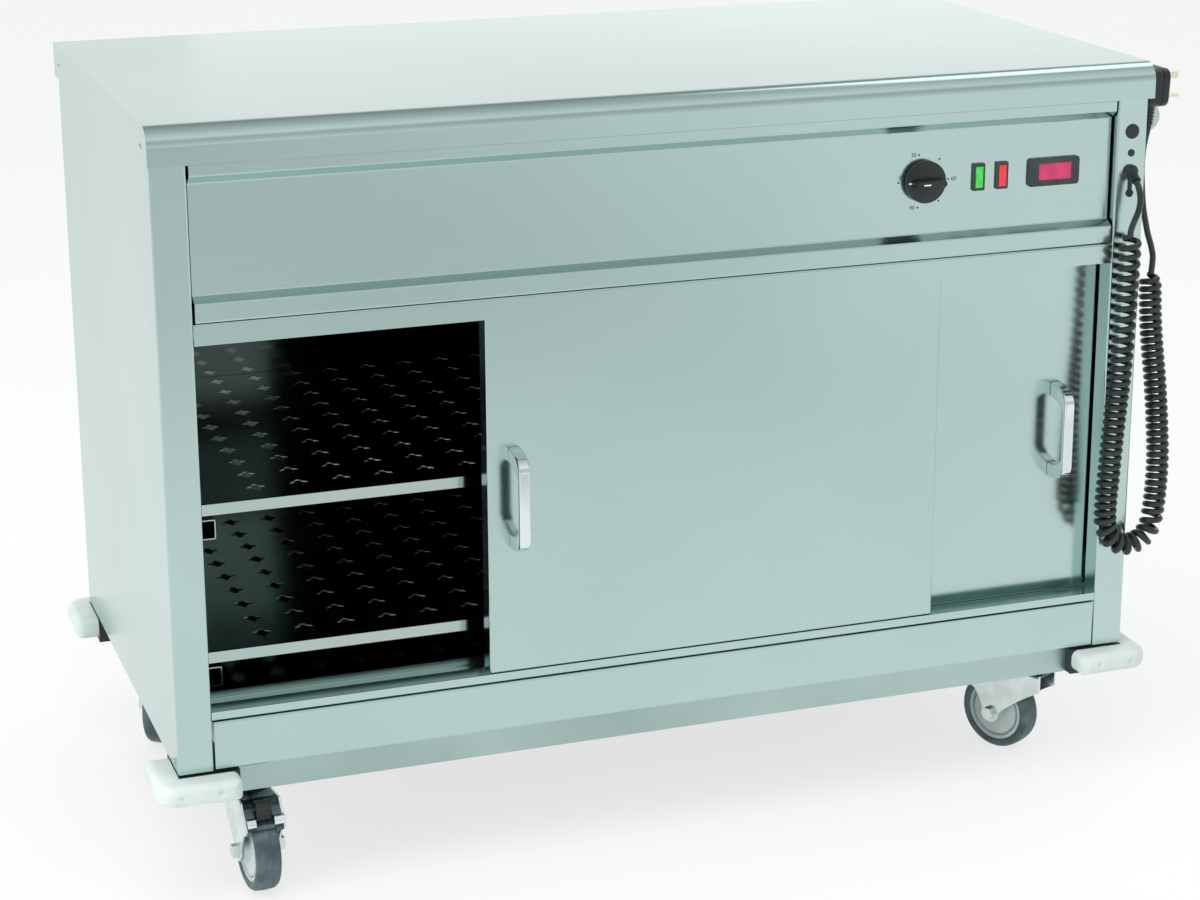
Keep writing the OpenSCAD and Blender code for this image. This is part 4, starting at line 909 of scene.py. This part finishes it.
def make_pedal(corner):
    """A moulded brake pedal: its side view about its pin, with a rounded top and ridges across its
    tread, carried across its width."""
    origin, trail, side = castor_axes(corner)
    pin = origin + (PEDAL_PIN_MM[0] * trail + [0, 0, PEDAL_PIN_MM[1]]) * MM
    tread = np.linspace(0, 1, 25)
    wave = np.clip(np.cos(2 * np.pi * PEDAL_RIDGES * tread), 0, 1)
    ridges = PEDAL_RIDGE_MM * wave * (tread > 0.1) * (tread < 0.92)
    face = np.stack([12 + 1.6 * tread + ridges, -9 + 16 * tread], axis=-1)
    outline = np.concatenate([
        [[-2.5, -4.5], [3, -9], [9.5, -11]], face, arc((8.3, 7), 5.3, 10, 100, 8), [[0, 11.4], [-2.5, 5.5]],
    ])
    shape = placed(prism(outline, -PEDAL_HALF_W_MM, PEDAL_HALF_W_MM), pin, trail, (0, 0, 1), side)
    new_piece(
        f"{corner}_pedal_tread", *shape, f"{corner}_brake", "black_plastic", "black_plastic",
        (f"{corner}_brake_pedal",), bevel_mm=0.9,
    )


# ---- bumpers ---------------------------------------------------------------

BUMPER_TALL_MM = 26
BUMPER_ARM_MM = 96.5
BUMPER_THICK_MM = 28
BUMPER_CORNER_MM = 25
BUMPER_EDGE_MM = 10
BUMPER_END_MM = 14
BUMPER_END_EDGE_MM = 9
# places of the dimples along an arm, and their radius and depth
DIMPLES_MM = (27.5, 70.5)
DIMPLE_R_MM = 3.2
DIMPLE_DEPTH_MM = 2.2


def rounding(distance, radius):
    """How far a rounded edge of some radius lies inside the sharp one, at a distance from its end."""
    reach = np.clip(radius - distance, 0, radius)
    return radius - np.sqrt(radius**2 - reach**2)


def make_bumpers():
    """Corner guards of moulded nylon: a section with round edges, carried along one arm, a quarter
    circle and the other arm, drawn in at the arms' ends, with a shallow dimple over each screw."""
    low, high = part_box("corner_bumpers")
    outer = np.array([high.x, high.y]) / MM
    tall = BUMPER_TALL_MM
    edge = BUMPER_EDGE_MM
    section = np.concatenate([
        [[BUMPER_THICK_MM, 0], [BUMPER_THICK_MM / 2, 0]],
        arc((edge, edge), edge, 270, 180, 9),
        np.stack([np.zeros(5), np.linspace(edge, tall - edge, 7)[1:-1]], axis=-1),
        arc((edge, tall - edge), edge, 180, 90, 9),
        [[BUMPER_THICK_MM / 2, tall], [BUMPER_THICK_MM, tall]],
    ])
    # stations along one arm, measured from the outer corner; closer together where the end rounds
    run = BUMPER_ARM_MM - BUMPER_END_MM * (1 - np.cos(np.linspace(0, np.pi / 2, 12)))
    run = np.concatenate([run, np.linspace(run[-1], BUMPER_CORNER_MM, 44)[1:]])
    flat = np.zeros_like(run)
    turn = np.radians(np.linspace(90, 0, 19))[1:-1]
    turned = np.stack([np.cos(turn), np.sin(turn)], axis=-1)
    feet = np.concatenate([
        outer - np.stack([run, flat], axis=-1),
        outer - BUMPER_CORNER_MM + BUMPER_CORNER_MM * turned,
        outer - np.stack([flat, run], axis=-1)[::-1],
    ])
    to_back, to_right = (np.broadcast_to(direction, (len(run), 2)) for direction in ([0, 1], [1, 0]))
    outs = np.concatenate([to_back, turned, to_right])
    along = np.concatenate([run, np.zeros(len(turn)), run[::-1]])[:, None]
    from_end = BUMPER_ARM_MM - along
    depth, height = section[None, :, 0], section[None, :, 1]
    away = [(along - place) ** 2 + (height - tall / 2) ** 2 for place in DIMPLES_MM]
    dimple = DIMPLE_DEPTH_MM * sum(np.exp(-((square / DIMPLE_R_MM**2) ** 2)) for square in away)
    inset = np.maximum(depth + dimple * (depth < 1), rounding(from_end, BUMPER_END_MM))
    # round the corner the inside stops just short of the turn's centre
    inset = np.minimum(inset, np.where(along > 0, BUMPER_THICK_MM, BUMPER_CORNER_MM - 0.4))
    lift = rounding(from_end, BUMPER_END_EDGE_MM) * (1 - 2 * height / tall)
    xy = feet[:, None] - outs[:, None] * inset[..., None]
    grid = np.concatenate([xy, np.broadcast_to((height + lift)[..., None], (*xy.shape[:2], 1))], axis=-1) * MM
    parts = []
    for sx in (-1, 1):
        for sy in (-1, 1):
            mirrored = grid * [sx, sy, 1] + [0, 0, high.z - tall * MM]
            parts.append((mirrored.reshape(-1, 3), grid_faces(*grid.shape[:2])))
    new_piece("nylon_bumpers", *joined(parts), CABINET, "white_nylon", "white_nylon", ("corner_bumpers",))


# ---- stage -----------------------------------------------------------------


def seen_ray(tree):
    """1 for rays that the camera sees straight, in a gloss or through glass, and 0 for the rest."""
    path = add(tree, "ShaderNodeLightPath").outputs
    seen = path["Is Camera Ray"]
    for ray in ("Is Glossy Ray", "Is Transmission Ray"):
        seen = add(tree, "ShaderNodeMath", {0: seen, 1: path[ray]}, operation="MAXIMUM").outputs[0]
    return seen


def smooth_step(tree, value, low, high, first=0.0, last=1.0):
    """A value that goes smoothly from first to last between low and high."""
    return add(
        tree,
        "ShaderNodeMapRange",
        {"Value": value, "From Min": low, "From Max": high, "To Min": first, "To Max": last},
        interpolation_type="SMOOTHSTEP",
    ).outputs[0]


def blended(tree, share, low, high):
    """A value that goes from low to high with a share."""
    return add(tree, "ShaderNodeMix", {0: share, 2: low, 3: high}, data_type="FLOAT").outputs[0]


def level_for_gloss(tree, level):
    """1 where the camera looks straight, and a level where the look goes by a gloss."""
    return blended(tree, add(tree, "ShaderNodeLightPath").outputs["Is Glossy Ray"], 1.0, level)


FLOOR_HALF = 30
# how much of the floor's look is its own white, and how much is lit paint that shows a shadow
FLOOR_OWN_WHITE = 0.72
# the floor's level in a gloss: two places along X, and the levels there, far in front and near
FLOOR_FAR = (0.4, 2.0, 0.66, 1.12)
FLOOR_NEAR = (-0.8, 2.6, 0.98, 0.92)
# places along Y between which far turns to near, and between which these levels begin
FLOOR_NEARNESS = (-3.2, -1.4)
FLOOR_FRONT = (-0.4, -0.9)


def make_floor():
    """A wide pale floor that is mostly its own white where it is seen, and keeps a soft shadow. In a
    gloss it is dimmer in front of the trolley's left half, where the room is in shade."""
    mesh = bpy.data.meshes.new("floor")
    corners = [(x * FLOOR_HALF, y * FLOOR_HALF, 0) for x, y in ((-1, -1), (1, -1), (1, 1), (-1, 1))]
    mesh.from_pydata(corners, [], [(0, 1, 2, 3)])
    floor = in_scene("floor", mesh)
    material = bpy.data.materials.new("pale_floor")
    tree = empty_tree(material)
    object_place = add(tree, "ShaderNodeTexCoord").outputs["Object"]
    x, y, _ = add(tree, "ShaderNodeSeparateXYZ", {0: object_place}).outputs
    far = smooth_step(tree, x, *FLOOR_FAR)
    near = smooth_step(tree, x, *FLOOR_NEAR)
    shade = blended(tree, smooth_step(tree, y, *FLOOR_NEARNESS), far, near)
    level = blended(tree, smooth_step(tree, y, *FLOOR_FRONT), 1.0, shade)
    paint = add(tree, "ShaderNodeBsdfDiffuse", {"Color": linear("#F7FAFA")})
    white = add(
        tree, "ShaderNodeEmission", {"Color": linear("#FFFFFF"), "Strength": level_for_gloss(tree, level)}
    )
    share = add(tree, "ShaderNodeMath", {0: seen_ray(tree), 1: FLOOR_OWN_WHITE}, operation="MULTIPLY")
    mixed = add(
        tree, "ShaderNodeMixShader", {0: share.outputs[0], 1: paint.outputs[0], 2: white.outputs[0]}
    )
    add(tree, "ShaderNodeOutputMaterial", {"Surface": mixed.outputs[0]})
    mesh.materials.append(material)


# Angle from the back horizon over the top, in degrees, and how bright the studio is there in a gloss
STUDIO_LEVELS = (
    (0, 1.0), (22, 0.95), (40, 0.38), (55, 0.40), (76, 0.53), (98, 0.64), (120, 0.82), (142, 0.98),
    (158, 0.60), (168, 0.66), (180, 0.80),
)
STUDIO_LIGHT = 0.7


def make_world():
    """A white studio. In a gloss its level follows the angle of the look about the X axis, from the
    back horizon over the ceiling to the front one: a backdrop, a dark upper wall, a ceiling that
    brightens forwards, a dip, and a front that brightens again."""
    world = bpy.data.worlds.new("studio")
    tree = empty_tree(world)
    direction = add(tree, "ShaderNodeTexCoord").outputs["Generated"]
    _, y, z = add(tree, "ShaderNodeSeparateXYZ", {0: direction}).outputs
    angle = add(tree, "ShaderNodeMath", {0: z, 1: y}, operation="ARCTAN2").outputs[0]
    turned = add(tree, "ShaderNodeMapRange", {"Value": angle, "From Max": np.pi}).outputs[0]
    ramp = add(tree, "ShaderNodeValToRGB", {0: turned})
    ramp.color_ramp.interpolation = "EASE"
    stops = ramp.color_ramp.elements
    while len(stops) < len(STUDIO_LEVELS):
        stops.new(0.5)
    # every stop gets its place before any gets its colour, because stops that move may change order
    for stop, (degrees, _) in zip(stops, STUDIO_LEVELS):
        stop.position = degrees / 180
    for stop, (_, brightness) in zip(stops, STUDIO_LEVELS):
        stop.color = (brightness, brightness, brightness, 1)
    seen = add(
        tree,
        "ShaderNodeBackground",
        {"Color": linear("#FFFFFF"), "Strength": level_for_gloss(tree, ramp.outputs[0])},
    )
    light = add(tree, "ShaderNodeBackground", {"Color": linear("#FFFFFF"), "Strength": STUDIO_LIGHT})
    mixed = add(tree, "ShaderNodeMixShader", {0: seen_ray(tree), 1: light.outputs[0], 2: seen.outputs[0]})
    add(tree, "ShaderNodeOutputWorld", {"Surface": mixed.outputs[0]})
    bpy.context.scene.world = world


def make_lamp(name, place, aim, size, power, in_gloss):
    """A flat soft lamp that looks at a point; size is its width and height."""
    data = bpy.data.lights.new(name, "AREA")
    data.shape = "RECTANGLE"
    data.size, data.size_y = size
    data.energy = power
    lamp = in_scene(name, data)
    back = unit(np.array(place) - aim)
    right = unit(np.cross([0, 0.01, 1], back))
    stand(lamp, place, right, np.cross(back, right), back)
    lamp.visible_camera = False
    lamp.visible_glossy = in_gloss


# ---- the trolley -----------------------------------------------------------

FINISH_OF = {
    "left_side_panel": "stainless_upright", "right_side_panel": "stainless_upright",
    "back_panel": "stainless_upright", "upper_shelf": "shelf_stainless", "lower_shelf": "shelf_stainless",
    "shelf_runners": "shelf_stainless",
}

make_camera()
MATERIALS = make_materials()
for node, cad_object in frame["nodes"].items():
    cad_object.data.materials.clear()
    cad_object.data.materials.append(MATERIALS[FINISH_OF.get(node, SLOT_OF[node])])

cord, cord_line = make_cord()
strain_relief = make_strain_relief()
plug_body = make_plug()
make_shelf("upper_perforated_shelf", "upper_shelf")
make_shelf("lower_perforated_shelf", "lower_shelf")
make_dial(make_knob())
make_handle("front_handle_bar", "front_door_handle", "front_door")
make_handle("rear_handle_bar", "rear_door_handle", "rear_door")
for castor_corner in CORNERS:
    make_wheel(castor_corner)
    make_fork(castor_corner)
for castor_corner in CORNERS[:2]:
    make_pedal(castor_corner)
make_bumpers()

make_floor()
make_world()
make_lamp("top_softbox", (-0.6, -0.8, 3.4), (0, 0, 0.5), (2.6, 2.6), 50, False)
make_lamp("left_softbox", (-3.4, -1.2, 1.8), (0, 0, 0.5), (2.2, 2.2), 36, False)
make_lamp("back_softbox", (1.9, 3.6, 1.15), (0.3, 0, 0.9), (3.4, 0.7), 2.6, True)
make_lamp("right_softbox", (1.75, 0.45, 3.0), (0.3, -0.3, 0.9), (1.2, 1.3), 7, True)
bpy.context.scene.view_settings.view_transform = "Standard"
